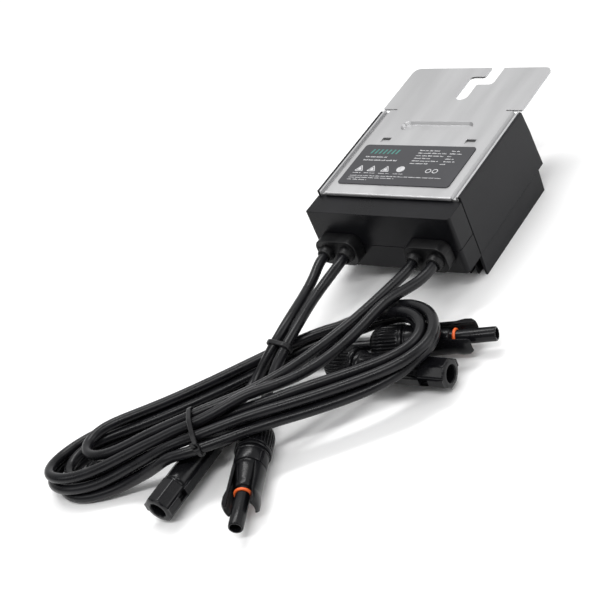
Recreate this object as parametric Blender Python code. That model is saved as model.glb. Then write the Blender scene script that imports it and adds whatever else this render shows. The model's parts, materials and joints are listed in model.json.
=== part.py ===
"""Module-level solar power optimizer: finned box, slotted mounting plate, four leads with plugs.

Sizes are in millimetres in the script and become metres as each mesh is made.
X runs across the box, the cables leave towards -Y, the mounting tongue points to +Y, Z is up.
The origin is the middle of the box's footprint, on the surface that it stands on.
"""
import math

import bmesh
import bpy
import numpy as np
from mathutils import Matrix, Vector

MM = 0.001
GAP = 0.3

# the box
HALF_WIDTH = 50.0
PANEL_THICK = 1.5
PANEL_FRONT = -49.2
PANEL_BOTTOM = 15.3
FRONT_FACE = -65.4
STEP_Y = -49.6
HOUSING_REAR = 30.2
HOUSING_TOP = 53.3
HOUSING_BOTTOM = 14.3
SEAM_Z = 30.6
SHELL_WALL = 2.5

# the finned base
FIN_COUNT = 19
FIN_THICK = 1.6
FIN_TIP = 1.2
FIN_SPAN = 97.0
BASE_BOTTOM = 11.8
BASE_TOP = 15.0
SINK_FRONT = -49.2
SINK_REAR = 29.8

# the mounting plate
PLATE_TOP = 56.2
PLATE_THICK = 1.3
PLATE_REAR = 78.0
TONGUE_FRONT = 33.8
TONGUE_HALF = 49.4
NECK_HALF = 38.8
GUTTER_DEPTH = 2.0

# glands and cables
CABLE_D = 6.2
CABLE_HOLE_R = 3.5
GLAND_X = 31.0
GLAND_Z = 30.0
GLAND_FRONT = -78.0
GLAND_BLOCK = (28.4, 17.6)
GLAND_BLOCK_FRONT = -74.2
CABLE_OFFSET = 7.0
CABLE_START = -72.0

# connectors, measured along the axis from the rear face of the gland nut
NUT_LENGTH = 20.0
NUT_R = 10.2
CHAMBER_R = 7.35
MALE_LENGTH = 72.0
FEMALE_LENGTH = 78.0
TUBE_R = 4.15
BORE_R = 3.0
SOCKET_R = 4.7
AXIS_HEIGHT = 10.8
CABLE_IN_NUT = 6.0
LATCH_ROOT = 33.5
LATCH_R = 8.4

for old in list(bpy.data.objects):
    bpy.data.objects.remove(old, do_unlink=True)


def material(name, colour, roughness, metallic=0.0):
    mat = bpy.data.materials.new(name)
    mat.use_nodes = True
    shader = mat.node_tree.nodes["Principled BSDF"]
    shader.inputs["Base Color"].default_value = (*colour, 1.0)
    shader.inputs["Roughness"].default_value = roughness
    shader.inputs["Metallic"].default_value = metallic
    return mat


BLACK_PAINT = material("black_anodised", (0.012, 0.012, 0.013), 0.42, 0.3)
BLACK_PLASTIC = material("black_plastic", (0.014, 0.014, 0.015), 0.5)
GLOSS_PLASTIC = material("connector_plastic", (0.010, 0.010, 0.011), 0.32)
SILVER = material("silver_sheet", (0.62, 0.62, 0.63), 0.38, 1.0)
LABEL_GREY = material("label_grey", (0.07, 0.07, 0.075), 0.5)
RUBBER = material("black_rubber", (0.015, 0.015, 0.016), 0.6)
CABLE_JACKET = material("cable_jacket", (0.016, 0.016, 0.018), 0.45)
ORANGE = material("orange_silicone", (0.75, 0.14, 0.03), 0.5)
BOARD_GREEN = material("board_green", (0.02, 0.14, 0.06), 0.45)
FERRITE = material("ferrite", (0.08, 0.08, 0.085), 0.6)
COPPER = material("copper", (0.70, 0.33, 0.16), 0.35, 1.0)
TIN = material("tinned_copper", (0.72, 0.72, 0.70), 0.3, 1.0)
STEEL = material("zinc_steel", (0.55, 0.55, 0.56), 0.35, 1.0)
PAD_GREY = material("gap_pad", (0.35, 0.38, 0.42), 0.8)


def new_object(name, bm, mat, smooth=False, place=None):
    bmesh.ops.recalc_face_normals(bm, faces=bm.faces)
    mesh = bpy.data.meshes.new(name)
    bm.to_mesh(mesh)
    bm.free()
    mesh.transform(Matrix.Scale(MM, 4))
    mesh.materials.append(mat)
    if smooth:
        mesh.shade_smooth()
        mesh.set_sharp_from_angle(angle=math.radians(35))
    obj = bpy.data.objects.new(name, mesh)
    bpy.context.scene.collection.objects.link(obj)
    if place is not None:
        obj.parent = place
    return obj


def prism(name, outline, low, high, mat, axis="Z", place=None, smooth=False):
    """A closed outline pushed from low to high along an axis."""
    order = {"Z": (0, 1, 2), "Y": (0, 2, 1), "X": (2, 0, 1)}[axis]
    bm = bmesh.new()
    rings = []
    for level in (low, high):
        ring = []
        for u, v in outline:
            point = (u, v, level)
            ring.append(bm.verts.new([point[i] for i in order]))
        rings.append(ring)
    count = len(outline)
    for i in range(count):
        j = (i + 1) % count
        bm.faces.new((rings[0][i], rings[0][j], rings[1][j], rings[1][i]))
    bm.faces.new(rings[0])
    bm.faces.new(list(reversed(rings[1])))
    return new_object(name, bm, mat, smooth, place)


def block(name, low, high, mat, place=None, bevel=0.0):
    bm = bmesh.new()
    bmesh.ops.create_cube(bm, size=1.0)
    centre = (Vector(low) + Vector(high)) / 2
    size = Vector(high) - Vector(low)
    bmesh.ops.scale(bm, vec=size, verts=bm.verts)
    bmesh.ops.translate(bm, vec=centre, verts=bm.verts)
    if bevel:
        bmesh.ops.bevel(bm, geom=bm.edges[:], offset=bevel, segments=2, profile=0.5, affect="EDGES")
    return new_object(name, bm, mat, False, place)


def lathe(name, profile, sides, mat, place=None, smooth=True):
    """A profile of (radius, height) points turned about Z: closed on itself, or ending on the axis."""
    bm = bmesh.new()
    columns = []
    for radius, height in profile:
        if radius == 0.0:
            columns.append([bm.verts.new((0.0, 0.0, height))])
            continue
        ring = []
        for i in range(sides):
            turn = 2 * math.pi * (i + 0.5) / sides
            ring.append(bm.verts.new((radius * math.cos(turn), radius * math.sin(turn), height)))
        columns.append(ring)
    closed = profile[0][0] > 0.0
    pairs = list(zip(columns, columns[1:] + columns[:1])) if closed else list(zip(columns, columns[1:]))
    for lower, upper in pairs:
        for i in range(sides):
            j = (i + 1) % sides
            if len(lower) == 1:
                bm.faces.new((lower[0], upper[j], upper[i]))
            elif len(upper) == 1:
                bm.faces.new((lower[i], lower[j], upper[0]))
            else:
                bm.faces.new((lower[i], lower[j], upper[j], upper[i]))
    return new_object(name, bm, mat, smooth, place)


def rounded(corners, radii, steps=4):
    """An outline with each corner rounded to its radius; a radius of 0 leaves the corner sharp."""
    outline = []
    count = len(corners)
    for i, (corner, radius) in enumerate(zip(corners, radii)):
        here = Vector(corner)
        if radius == 0:
            outline.append(tuple(here))
            continue
        before = (Vector(corners[i - 1]) - here).normalized()
        after = (Vector(corners[(i + 1) % count]) - here).normalized()
        half = before.angle(after) / 2
        centre = here + (before + after).normalized() * (radius / math.sin(half))
        start = here + before * (radius / math.tan(half)) - centre
        end = here + after * (radius / math.tan(half)) - centre
        sweep = start.angle_signed(end)
        for k in range(steps + 1):
            turn = -sweep * k / steps
            cos, sin = math.cos(turn), math.sin(turn)
            outline.append((centre.x + start.x * cos - start.y * sin, centre.y + start.x * sin + start.y * cos))
    return outline


def obround(centre_x, centre_y, width, height, steps=8):
    """A slot outline with half-round ends, longer across than high."""
    radius = height / 2
    reach = width / 2 - radius
    outline = []
    for side in (1, -1):
        for k in range(steps + 1):
            turn = math.pi * (k / steps - 0.5)
            outline.append((centre_x + side * (reach + radius * math.cos(turn)), centre_y + side * radius * math.sin(turn)))
    return outline


def hide_tool(obj):
    obj.hide_render = True
    obj.display_type = "WIRE"


def combine(target, tools, operation):
    for tool in tools:
        cut = target.modifiers.new(operation.lower(), "BOOLEAN")
        cut.operation = operation
        cut.solver = "EXACT"
        cut.object = tool
        hide_tool(tool)


def fuse(target, *tools):
    combine(target, tools, "UNION")


def carve(target, *tools):
    combine(target, tools, "DIFFERENCE")


# ---------------------------------------------------------------- heat sink and side panels

SCREW_SPOTS = [(x, y) for x in (-40.4, 40.4) for y in (-38.0, 20.0)]


def make_heat_sink():
    pitch = FIN_SPAN / (FIN_COUNT - 1)
    outline = [(-HALF_WIDTH + 0.3, BASE_TOP)]
    for i in range(FIN_COUNT):
        middle = -FIN_SPAN / 2 + i * pitch
        outline.append((middle - FIN_THICK / 2, BASE_BOTTOM))
        outline.append((middle - FIN_TIP / 2, 0.0))
        outline.append((middle + FIN_TIP / 2, 0.0))
        outline.append((middle + FIN_THICK / 2, BASE_BOTTOM))
    outline.append((HALF_WIDTH - 0.3, BASE_TOP))
    outline[1] = (-HALF_WIDTH + 0.3, BASE_BOTTOM + 1.0)
    outline[2] = (-HALF_WIDTH + 0.7, 0.0)
    outline[-2] = (HALF_WIDTH - 0.3, BASE_BOTTOM + 1.0)
    outline[-3] = (HALF_WIDTH - 0.7, 0.0)
    sink = prism("heat_sink", outline, SINK_FRONT, SINK_REAR, BLACK_PAINT, "Y")
    for n, (x, y) in enumerate(SCREW_SPOTS):
        pocket = lathe(f"cut_pocket_{n}", [(0.0, -1.0), (4.6, -1.0), (4.6, 11.9), (0.0, 11.9)], 16, BLACK_PAINT)
        hole = lathe(f"cut_sink_hole_{n}", [(0.0, 10.0), (2.1, 10.0), (2.1, 16.0), (0.0, 16.0)], 12, BLACK_PAINT)
        for tool in (pocket, hole):
            tool.location = (x * MM, y * MM, 0)
        carve(sink, pocket, hole)


def make_side_panel(name, side):
    """A bent sheet: a tall wall with a narrow foot turned in under the housing."""
    inner = HALF_WIDTH - PANEL_THICK
    wall = [(PANEL_FRONT, PANEL_BOTTOM), (36.0, PANEL_BOTTOM), (34.6, 29.0), (33.7, 41.0), (31.4, PLATE_TOP),
            (PANEL_FRONT, PLATE_TOP)]
    low, high = sorted((side * inner, side * HALF_WIDTH))
    panel = prism(name, wall, low, high, BLACK_PAINT, "X")
    foot_low, foot_high = sorted((side * 44.6, side * (HALF_WIDTH - 0.5)))
    foot = block(f"{name}_foot", (foot_low, PANEL_FRONT + 2, PANEL_BOTTOM), (foot_high, 29.0, 16.4), BLACK_PAINT)
    fuse(panel, foot)


# ---------------------------------------------------------------- mounting plate and label

def make_mounting_plate():
    under = PLATE_TOP - PLATE_THICK
    floor_top = PLATE_TOP - GUTTER_DEPTH
    floor_under = floor_top - PLATE_THICK
    right = [(43.3, PLATE_TOP), (44.8, floor_top), (46.7, floor_top), (46.9, PLATE_TOP), (48.2, PLATE_TOP),
             (48.2, floor_under), (44.1, floor_under), (42.6, under)]
    section = [(-x, z) for x, z in reversed(right)] + right
    plate = prism("mounting_plate", section, PANEL_FRONT, TONGUE_FRONT - 1.0, SILVER, "Y")

    tongue_corners = [(-NECK_HALF, TONGUE_FRONT - 3.0), (NECK_HALF, TONGUE_FRONT - 3.0), (NECK_HALF, TONGUE_FRONT),
                      (TONGUE_HALF, TONGUE_FRONT), (TONGUE_HALF, PLATE_REAR), (-TONGUE_HALF, PLATE_REAR),
                      (-TONGUE_HALF, TONGUE_FRONT), (-NECK_HALF, TONGUE_FRONT)]
    tongue = prism("plate_tongue", rounded(tongue_corners, [0, 0, 0, 1.0, 5.0, 5.0, 1.0, 0]), under, PLATE_TOP, SILVER)
    lip = block("plate_lip", (-42.0, PANEL_FRONT - 1.1, 54.0), (42.0, PANEL_FRONT + 0.4, PLATE_TOP - 0.2), SILVER)
    pan = prism("plate_pan", obround(-1.2, 16.9, 52.6, 11.2), under - 1.2, under + 0.3, SILVER)
    fuse(plate, tongue, lip, pan)

    slot_corners = [(6.9, PLATE_REAR + 2), (6.9, 68.3), (-3.3, 68.3), (-3.3, 44.1), (5.0, 44.1), (5.0, 60.1),
                    (16.0, 60.1), (16.0, PLATE_REAR + 2)]
    slot = prism("cut_bolt_slot", rounded(slot_corners, [0, 1.6, 3.0, 4.1, 4.1, 1.6, 3.0, 0]), 50.0, 60.0, SILVER)
    pressing = prism("cut_pressing", obround(-1.2, 16.9, 50.4, 9.0), under - 0.5, 60.0, SILVER)
    lances = [block(f"cut_lance_{n}", (low, 3.1, 50.0), (high, 4.5, 60.0), SILVER)
              for n, (low, high) in enumerate(((-32.5, -26.5), (26.8, 33.4)))]
    carve(plate, slot, pressing, *lances)


def make_label():
    corners = [(-39.8, -41.5), (37.9, -41.5), (37.9, -3.6), (-39.8, -3.6)]
    prism("rating_label", rounded(corners, [2.2] * 4), PLATE_TOP + GAP, PLATE_TOP + 2 * GAP, LABEL_GREY)


# ---------------------------------------------------------------- housing

def housing_outline(inset):
    wide = 49.75 - inset
    narrow = 48.1 - inset
    step = STEP_Y - inset if inset else STEP_Y
    corners = [(-wide, FRONT_FACE + inset), (wide, FRONT_FACE + inset), (wide, step), (narrow, step),
               (narrow, HOUSING_REAR - inset), (-narrow, HOUSING_REAR - inset), (-narrow, step), (-wide, step)]
    corner_round = max(2.5 - inset, 0.6)
    left_round = max(0.9 - inset, 0.4)
    return rounded(corners, [left_round, corner_round, 0, 0, 1.0, 1.0, 0, 0])


def grommet_windows(prefix):
    return [prism(f"{prefix}_{n}", obround(side * GLAND_X, GLAND_Z, 27.0, 13.4), FRONT_FACE - 5, FRONT_FACE + 5,
                  BLACK_PLASTIC, "Y") for n, side in enumerate((-1, 1))]


def make_lower_shell():
    shell = prism("housing_lower_shell", housing_outline(0), HOUSING_BOTTOM, SEAM_Z - GAP / 2, BLACK_PLASTIC)
    step = block("cut_lower_step", (-60, STEP_Y, 10), (60, 40, 16.8), BLACK_PLASTIC)
    cavity = prism("cut_lower_cavity", housing_outline(SHELL_WALL), 19.3, 40.0, BLACK_PLASTIC)
    carve(shell, step, cavity)
    for n, (x, y) in enumerate(SCREW_SPOTS):
        boss = lathe(f"boss_{n}", [(0.0, 17.5), (4.2, 17.5), (4.2, 27.0), (0.0, 27.0)], 16, BLACK_PLASTIC)
        hole = lathe(f"cut_boss_hole_{n}", [(0.0, 14.0), (2.1, 14.0), (2.1, 25.0), (0.0, 25.0)], 12, BLACK_PLASTIC)
        for tool in (boss, hole):
            tool.location = (x * MM, y * MM, 0)
        fuse(shell, boss)
        carve(shell, hole)
    carve(shell, *grommet_windows("cut_lower_window"))


def make_upper_shell():
    shell = prism("housing_upper_shell", housing_outline(0), SEAM_Z + GAP / 2, HOUSING_TOP, BLACK_PLASTIC)
    step = block("cut_upper_step", (-60, STEP_Y, 52.4), (60, 40, 60), BLACK_PLASTIC)
    cavity = prism("cut_upper_cavity", housing_outline(SHELL_WALL), 20.0, 49.9, BLACK_PLASTIC)
    carve(shell, step, cavity, *grommet_windows("cut_upper_window"))


def make_gasket():
    outer = block("housing_gasket", (-45.2, -46.0, SEAM_Z - 1.0), (45.2, 27.3, SEAM_Z + 1.0), RUBBER)
    inner = block("cut_gasket", (-43.6, -44.4, 20), (43.6, 25.7, 40), RUBBER)
    carve(outer, inner)


def make_screws():
    profile = [(0.0, 9.3), (3.0, 9.3), (3.0, 11.5), (1.75, 11.5), (1.75, 24.5), (0.0, 24.5)]
    for n, (x, y) in enumerate(SCREW_SPOTS):
        screw = lathe(f"heat_sink_screw_{n + 1}", profile, 12, STEEL)
        screw.location = (x * MM, y * MM, 0)


# ---------------------------------------------------------------- electronics

BOARD_LOW = 27.4
BOARD_HIGH = 29.0
ON_BOARD = BOARD_HIGH + GAP


def make_inductor(n, x):
    core = block(f"inductor_core_{n}", (x - 13, -8, ON_BOARD), (x + 13, 10, ON_BOARD + 19), FERRITE, bevel=0.6)
    windows = [block(f"cut_core_{n}_{side}", (x + side * 7 - 3.2, -20, ON_BOARD + 3), (x + side * 7 + 3.2, 20, ON_BOARD + 16),
                     FERRITE) for side in (-1, 1)]
    carve(core, *windows)
    coil = block(f"inductor_winding_{n}", (x - 9.8, -13.0, ON_BOARD + 3.4), (x + 9.8, 15.0, ON_BOARD + 15.6), COPPER,
                 bevel=1.0)
    leg = block(f"cut_coil_{n}", (x - 4.2, -8.6, 20), (x + 4.2, 10.6, 60), COPPER)
    carve(coil, leg)


def make_electronics():
    block("circuit_board", (-35.5, -44.0, BOARD_LOW), (35.5, 25.0, BOARD_HIGH), BOARD_GREEN)
    block("thermal_pad", (-30, -36, 19.6), (30, 18, BOARD_LOW - GAP), PAD_GREY)
    for n, x in enumerate((-19.0, 19.0)):
        make_inductor(n + 1, x)
    can = [(0.0, ON_BOARD), (6.0, ON_BOARD), (6.0, ON_BOARD + 19.0), (5.4, ON_BOARD + 19.6), (0.0, ON_BOARD + 19.6)]
    for name, x in (("input_capacitor", -26.0), ("output_capacitor", 26.0)):
        obj = lathe(name, can, 16, STEEL)
        obj.location = (x * MM, -30.0 * MM, 0)
    for n, x in enumerate((-8.0, 8.0)):
        block(f"power_transistor_{n + 1}", (x - 5, 18.0, ON_BOARD), (x + 5, 22.6, ON_BOARD + 15), FERRITE)
    block("controller_chip", (-6, -34, ON_BOARD), (6, -22, ON_BOARD + 1.4), FERRITE)
    block("cable_terminal_block", (-16, -43, ON_BOARD), (16, -36, ON_BOARD + 9), TIN, bevel=0.4)


# ---------------------------------------------------------------- cable glands

def make_grommet(name, x):
    """A rubber double gland: a block on the wall, a neck through it, and a short sleeve for each cable."""
    wide, high = GLAND_BLOCK[0] / 2, GLAND_BLOCK[1] / 2
    corners = [(x - wide, GLAND_Z - high), (x + wide, GLAND_Z - high), (x + wide, GLAND_Z + high),
               (x - wide, GLAND_Z + high)]
    body = prism(name, rounded(corners, [6.0] * 4), GLAND_BLOCK_FRONT, FRONT_FACE - GAP, RUBBER, "Y")
    neck = prism(f"{name}_neck", obround(x, GLAND_Z, 26.4, 12.8), FRONT_FACE - 1.0, FRONT_FACE + 4.5, RUBBER, "Y")
    fuse(body, neck)
    sleeve = [(0.0, -8.0), (6.3, -8.0), (6.3, 8.8), (5.6, 9.2), (5.2, 12.0), (4.8, 12.6), (0.0, 12.6)]
    for side in (-1, 1):
        nozzle = lathe(f"{name}_nozzle_{side}", sleeve, 20, RUBBER)
        hole = lathe(f"cut_{name}_{side}", [(0.0, -30.0), (CABLE_HOLE_R, -30.0), (CABLE_HOLE_R, 20.0), (0.0, 20.0)], 20,
                     RUBBER)
        for tool, y in ((nozzle, FRONT_FACE + 0.0), (hole, FRONT_FACE)):
            tool.location = ((x + side * CABLE_OFFSET) * MM, y * MM, GLAND_Z * MM)
            tool.rotation_euler = (math.radians(90), 0, 0)
        trim = block(f"cut_{name}_trim_{side}", (x - 20, FRONT_FACE + 4.5, 10), (x + 20, FRONT_FACE + 20, 50), RUBBER)
        carve(nozzle, trim)
        fuse(body, nozzle)
    for side in (-1, 1):
        carve(body, bpy.data.objects[f"cut_{name}_{side}"])


# ---------------------------------------------------------------- connectors

# rear face of each gland nut, and the angle of the axis from +X, looking down
CONNECTORS = {
    "male_1": ((-16.0, -199.0), -66.4),
    "male_2": ((18.0, -126.0), 15.6),
    "female_1": ((-41.0, -187.0), -90.0),
    "female_2": ((-2.0, -143.5), 2.6),
}


def connector_frame(name):
    """An empty on the connector's axis: local Z runs to the tip, local X is up, local Y is sideways."""
    (x, y), heading = CONNECTORS[name]
    turn = math.radians(heading)
    along = Vector((math.cos(turn), math.sin(turn), 0))
    up = Vector((0, 0, 1))
    frame = bpy.data.objects.new(f"{name}_frame", None)
    matrix = Matrix((up, along.cross(up), along)).transposed().to_4x4()
    matrix.translation = Vector((x, y, AXIS_HEIGHT)) * MM
    frame.matrix_world = matrix
    bpy.context.scene.collection.objects.link(frame)
    return frame


def make_nut(name, frame):
    profile = [(CABLE_HOLE_R, 0.0), (6.4, 0.0), (8.9, 2.6), (9.7, 4.0), (NUT_R, 6.0), (NUT_R, 18.8), (9.7, NUT_LENGTH),
               (CHAMBER_R, NUT_LENGTH), (CHAMBER_R, 2.4), (CABLE_HOLE_R, 2.4)]
    lathe(f"{name}_nut", profile, 24, GLOSS_PLASTIC, frame)
    seal = [(CABLE_HOLE_R, 2.8), (7.0, 2.8), (7.0, 5.7), (CABLE_HOLE_R, 5.7)]
    lathe(f"{name}_seal", seal, 16, RUBBER, frame)


def make_contact(name, frame, reach, tip_r):
    profile = [(0.0, 6.5), (2.5, 6.5), (2.5, 20.0), (2.0, 22.0), (tip_r, 24.0), (tip_r, reach - 1.0),
               (tip_r * 0.6, reach), (0.0, reach)]
    lathe(f"{name}_contact", profile, 12, TIN, frame)


def make_male(name):
    frame = connector_frame(name)
    make_nut(name, frame)
    profile = [(BORE_R, 6.3), (7.0, 6.3), (7.0, 20.4), (8.1, 20.4), (8.1, 30.0), (6.9, 31.5), (6.9, 35.0), (5.4, 42.0),
               (5.4, 45.6), (TUBE_R, 46.2), (TUBE_R, 47.6), (3.7, 47.6), (3.7, 49.8), (TUBE_R, 49.8), (TUBE_R, 71.4),
               (3.8, MALE_LENGTH), (BORE_R, MALE_LENGTH)]
    lathe(f"{name}_body", profile, 20, GLOSS_PLASTIC, frame)
    ring = [(3.95, 47.9), (4.9, 47.9), (5.1, 48.7), (4.9, 49.5), (3.95, 49.5)]
    lathe(f"{name}_o_ring", ring, 20, ORANGE, frame)
    make_contact(name, frame, 66.0, 2.0)
    for label, side in (("left", 1), ("right", -1)):
        arm_outline = [(LATCH_R - 1.0, LATCH_ROOT - 1.0), (LATCH_R + 1.0, LATCH_ROOT - 1.0), (LATCH_R + 1.0, 50.0),
                       (LATCH_R + 1.9, 57.0), (LATCH_R + 1.6, 60.0), (LATCH_R + 0.4, 62.0), (LATCH_R - 0.8, 62.0),
                       (LATCH_R - 0.8, 40.0)]
        arm_outline = [(side * r, h) for r, h in arm_outline]
        hinge = bpy.data.objects.new(f"{name}_{label}_hinge", None)
        hinge.parent = frame
        hinge.location = Vector((0, side * LATCH_R, LATCH_ROOT)) * MM
        bpy.context.scene.collection.objects.link(hinge)
        moved = [(r - side * LATCH_R, h - LATCH_ROOT) for r, h in arm_outline]
        prism(f"{name}_latch_{label}", moved, -2.9, 2.9, GLOSS_PLASTIC, "X", hinge)


def make_female(name):
    frame = connector_frame(name)
    make_nut(name, frame)
    profile = [(BORE_R, 6.3), (7.0, 6.3), (7.0, 20.4), (7.4, 20.4), (7.4, 60.0), (6.8, 60.2), (6.8, 61.3),
               (8.1, 61.5), (8.1, 77.2), (7.5, FEMALE_LENGTH), (SOCKET_R, FEMALE_LENGTH), (SOCKET_R, 48.0), (BORE_R, 46.0)]
    lathe(f"{name}_body", profile, 20, GLOSS_PLASTIC, frame)
    make_contact(name, frame, 60.0, 1.5)


# ---------------------------------------------------------------- cables

ROUTES = {
    "cable_in_1": [
        (-37.3, -90, 28.5), (-36, -105, 27.2), (-34.5, -120, 26.3), (-33.3, -135, 25.3), (-33, -148, 24),
        (-36, -158, 21),
    ],
    "cable_in_2": [
        (-25.5, -90, 28.5), (-27, -105, 27.3), (-25.6, -122, 26.4), (-24, -138, 25.4), (-23.3, -152, 24),
        (-24, -165, 20),
    ],
    "cable_out_1": [
        (21, -98, 30), (16, -117, 30), (12, -133, 30.5), (6, -148, 31), (-3, -169, 31), (-13, -185, 31.5),
        (-20, -195, 31.5), (-28, -204, 32), (-37, -213, 31.5), (-42, -217, 30.5), (-54, -223, 28),
        (-66, -229, 25), (-86, -237, 20.5), (-100, -240, 18), (-111, -241, 16.5), (-116, -238, 15.5),
        (-115, -234, 15), (-110, -227, 14), (-104, -219, 13.5), (-91, -204, 13.5), (-72, -183, 14),
        (-53, -163, 14.5), (-30, -141, 14), (-17, -128, 13.5), (-3, -121, 16), (12, -117, 20),
        (29, -117, 25), (42, -117, 28), (52, -119, 29), (57, -124, 29), (59, -131, 29), (57, -139, 29),
        (51, -147, 29), (42, -157, 29.5), (33, -166, 30), (21, -178, 30.5), (12, -185, 30.5),
        (-2, -195, 30), (-17, -204, 29), (-32, -215, 27), (-48, -225, 24), (-66, -234, 19),
        (-84, -243, 13.5), (-101, -251, 10.5), (-113, -255, 9.5), (-120, -254, 9.5), (-121, -236, 9),
        (-109, -223, 9), (-81, -194, 9), (-53, -165, 9), (-32, -143, 9), (-17, -127, 9), (6, -119, 11),
        (24, -116, 14), (40, -117, 18), (51, -121, 20), (56, -129, 21), (54, -139, 21.5), (56, -141, 22),
        (49, -150, 22.5), (41, -161, 23), (33, -171, 23.5), (21, -182, 23.5), (6, -191, 23.5),
        (-8, -199, 23.5), (-18, -206, 24), (-29, -215, 24), (-41, -224, 23), (-57, -231, 18),
        (-73, -239, 12.5), (-90, -246, 6.5), (-103, -253, 3.5), (-109, -255, 3), (-113, -236, 3),
        (-104, -227, 3), (-77, -198, 3), (-52, -173, 3), (-36, -157, 4.5),
    ],
    "cable_out_2": [
        (33, -100, 30), (26, -125, 31), (22, -138, 31), (17, -152, 31), (11, -167, 31), (-2, -184, 31),
        (-10, -193, 31), (-18, -201, 31), (-34, -219, 31), (-46, -225, 28), (-64, -234, 23),
        (-82, -243, 19), (-95, -251, 17), (-107, -258, 16), (-118, -262, 15.5), (-126, -262, 15),
        (-128, -257, 14.5), (-125, -250, 13), (-128, -232, 9), (-114, -217, 9), (-87, -188, 9),
        (-59, -159, 9), (-35, -134, 9), (-21, -120, 9), (0, -112, 13), (18, -108, 19), (34, -113, 26),
        (43, -114, 28), (52, -116, 29), (61, -121, 29), (66, -127, 28.5), (68, -135, 28), (64, -143, 27.5),
        (57, -153, 27.5), (47, -163, 27.5), (36, -172, 28), (28, -179, 28), (19, -186, 28), (10, -193, 28),
        (0, -200, 28), (-9, -207, 28), (-18, -214, 28), (-28, -224, 27.5), (-43, -231, 24), (-63, -239, 18),
        (-83, -246, 12), (-97, -255, 10), (-109, -262, 9.5), (-119, -265, 9.5), (-124, -263, 9),
        (-128, -257, 8), (-130, -233, 3), (-114, -217, 3), (-87, -188, 3), (-59, -159, 3), (-35, -134, 3),
        (-21, -120, 3), (-6, -112, 7), (12, -110, 12), (22, -117, 16), (35, -112, 18), (47, -113, 20),
        (57, -118, 21), (63, -124, 21.5), (65, -132, 21.5), (60, -144, 22), (54, -154, 22.5),
        (47, -164, 22.5), (36, -176, 23.5), (28, -183, 24), (19, -189, 24.5), (10, -196, 24.5),
        (0, -202, 24.5), (-8, -210, 24.5), (-19, -219, 24.5), (-30, -229, 24), (-46, -236, 19),
        (-64, -241, 13.5), (-81, -247, 8), (-96, -255, 4), (-107, -261, 3.5), (-118, -262, 3),
        (-125, -260, 3), (-123, -237, 3), (-109, -222, 3), (-81, -193, 3), (-54, -164, 3), (-30, -139, 3),
        (-18, -127, 3),
    ],
}

CABLE_ENDS = {"cable_in_1": (-38.0, "female_1"), "cable_in_2": (-24.0, "male_1"),
              "cable_out_1": (24.0, "female_2"), "cable_out_2": (38.0, "male_2")}
STEP = 5.0          # spacing of the settling points along a cable
SETTLE_GAP = 1.0    # air left between jackets while they settle
ROUNDS = 400


def axis_points(name, distances):
    (x, y), heading = CONNECTORS[name]
    turn = math.radians(heading)
    return [(x + d * math.cos(turn), y + d * math.sin(turn), AXIS_HEIGHT) for d in distances]


def full_route(name):
    """The cable's own points with its straight start in the gland and straight end in the nut."""
    x, plug = CABLE_ENDS[name]
    start = [(x, y, GLAND_Z) for y in (CABLE_START, GLAND_FRONT, GLAND_FRONT - 6.0)]
    return np.array(start + ROUTES[name] + axis_points(plug, (-20.0, -9.0, CABLE_IN_NUT)), dtype=float)


def smooth_line(points, spacing):
    """An even walk along a smooth curve through the points."""
    knots = np.concatenate([[0], np.cumsum(np.sqrt(np.linalg.norm(np.diff(points, axis=0), axis=1)))])
    slopes = np.diff(points, axis=0) / np.diff(knots)[:, None]
    spans = np.diff(knots)
    tangents = np.empty_like(points)
    tangents[0], tangents[-1] = slopes[0], slopes[-1]
    before, after = spans[:-1, None], spans[1:, None]
    tangents[1:-1] = (slopes[:-1] * after + slopes[1:] * before) / (before + after)
    curve = []
    for i, span in enumerate(spans):
        for s in np.linspace(0, 1, 24, endpoint=False):
            curve.append((2 * s**3 - 3 * s**2 + 1) * points[i] + (s**3 - 2 * s**2 + s) * span * tangents[i]
                         + (3 * s**2 - 2 * s**3) * points[i + 1] + (s**3 - s**2) * span * tangents[i + 1])
    curve = np.array(curve + [points[-1]])
    walked = np.concatenate([[0], np.cumsum(np.linalg.norm(np.diff(curve, axis=0), axis=1))])
    stops = np.linspace(0, walked[-1], max(int(round(walked[-1] / spacing)), 2) + 1)
    return np.column_stack([np.interp(stops, walked, curve[:, k]) for k in range(3)])


def connector_pegs():
    """Each connector as three straight rods that a cable can't enter: nut, body and front."""
    pegs = []
    for name in CONNECTORS:
        female = name.startswith("female")
        length = FEMALE_LENGTH if female else MALE_LENGTH
        a, b, c, d = np.array(axis_points(name, (0.0, NUT_LENGTH, length - 24.0, length)))
        body_r = 10.0 if name == "female_1" else 8.4
        pegs += [(a, b, NUT_R), (b, c, body_r), (c, d, 8.6 if female else 5.0)]
    return pegs


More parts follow.
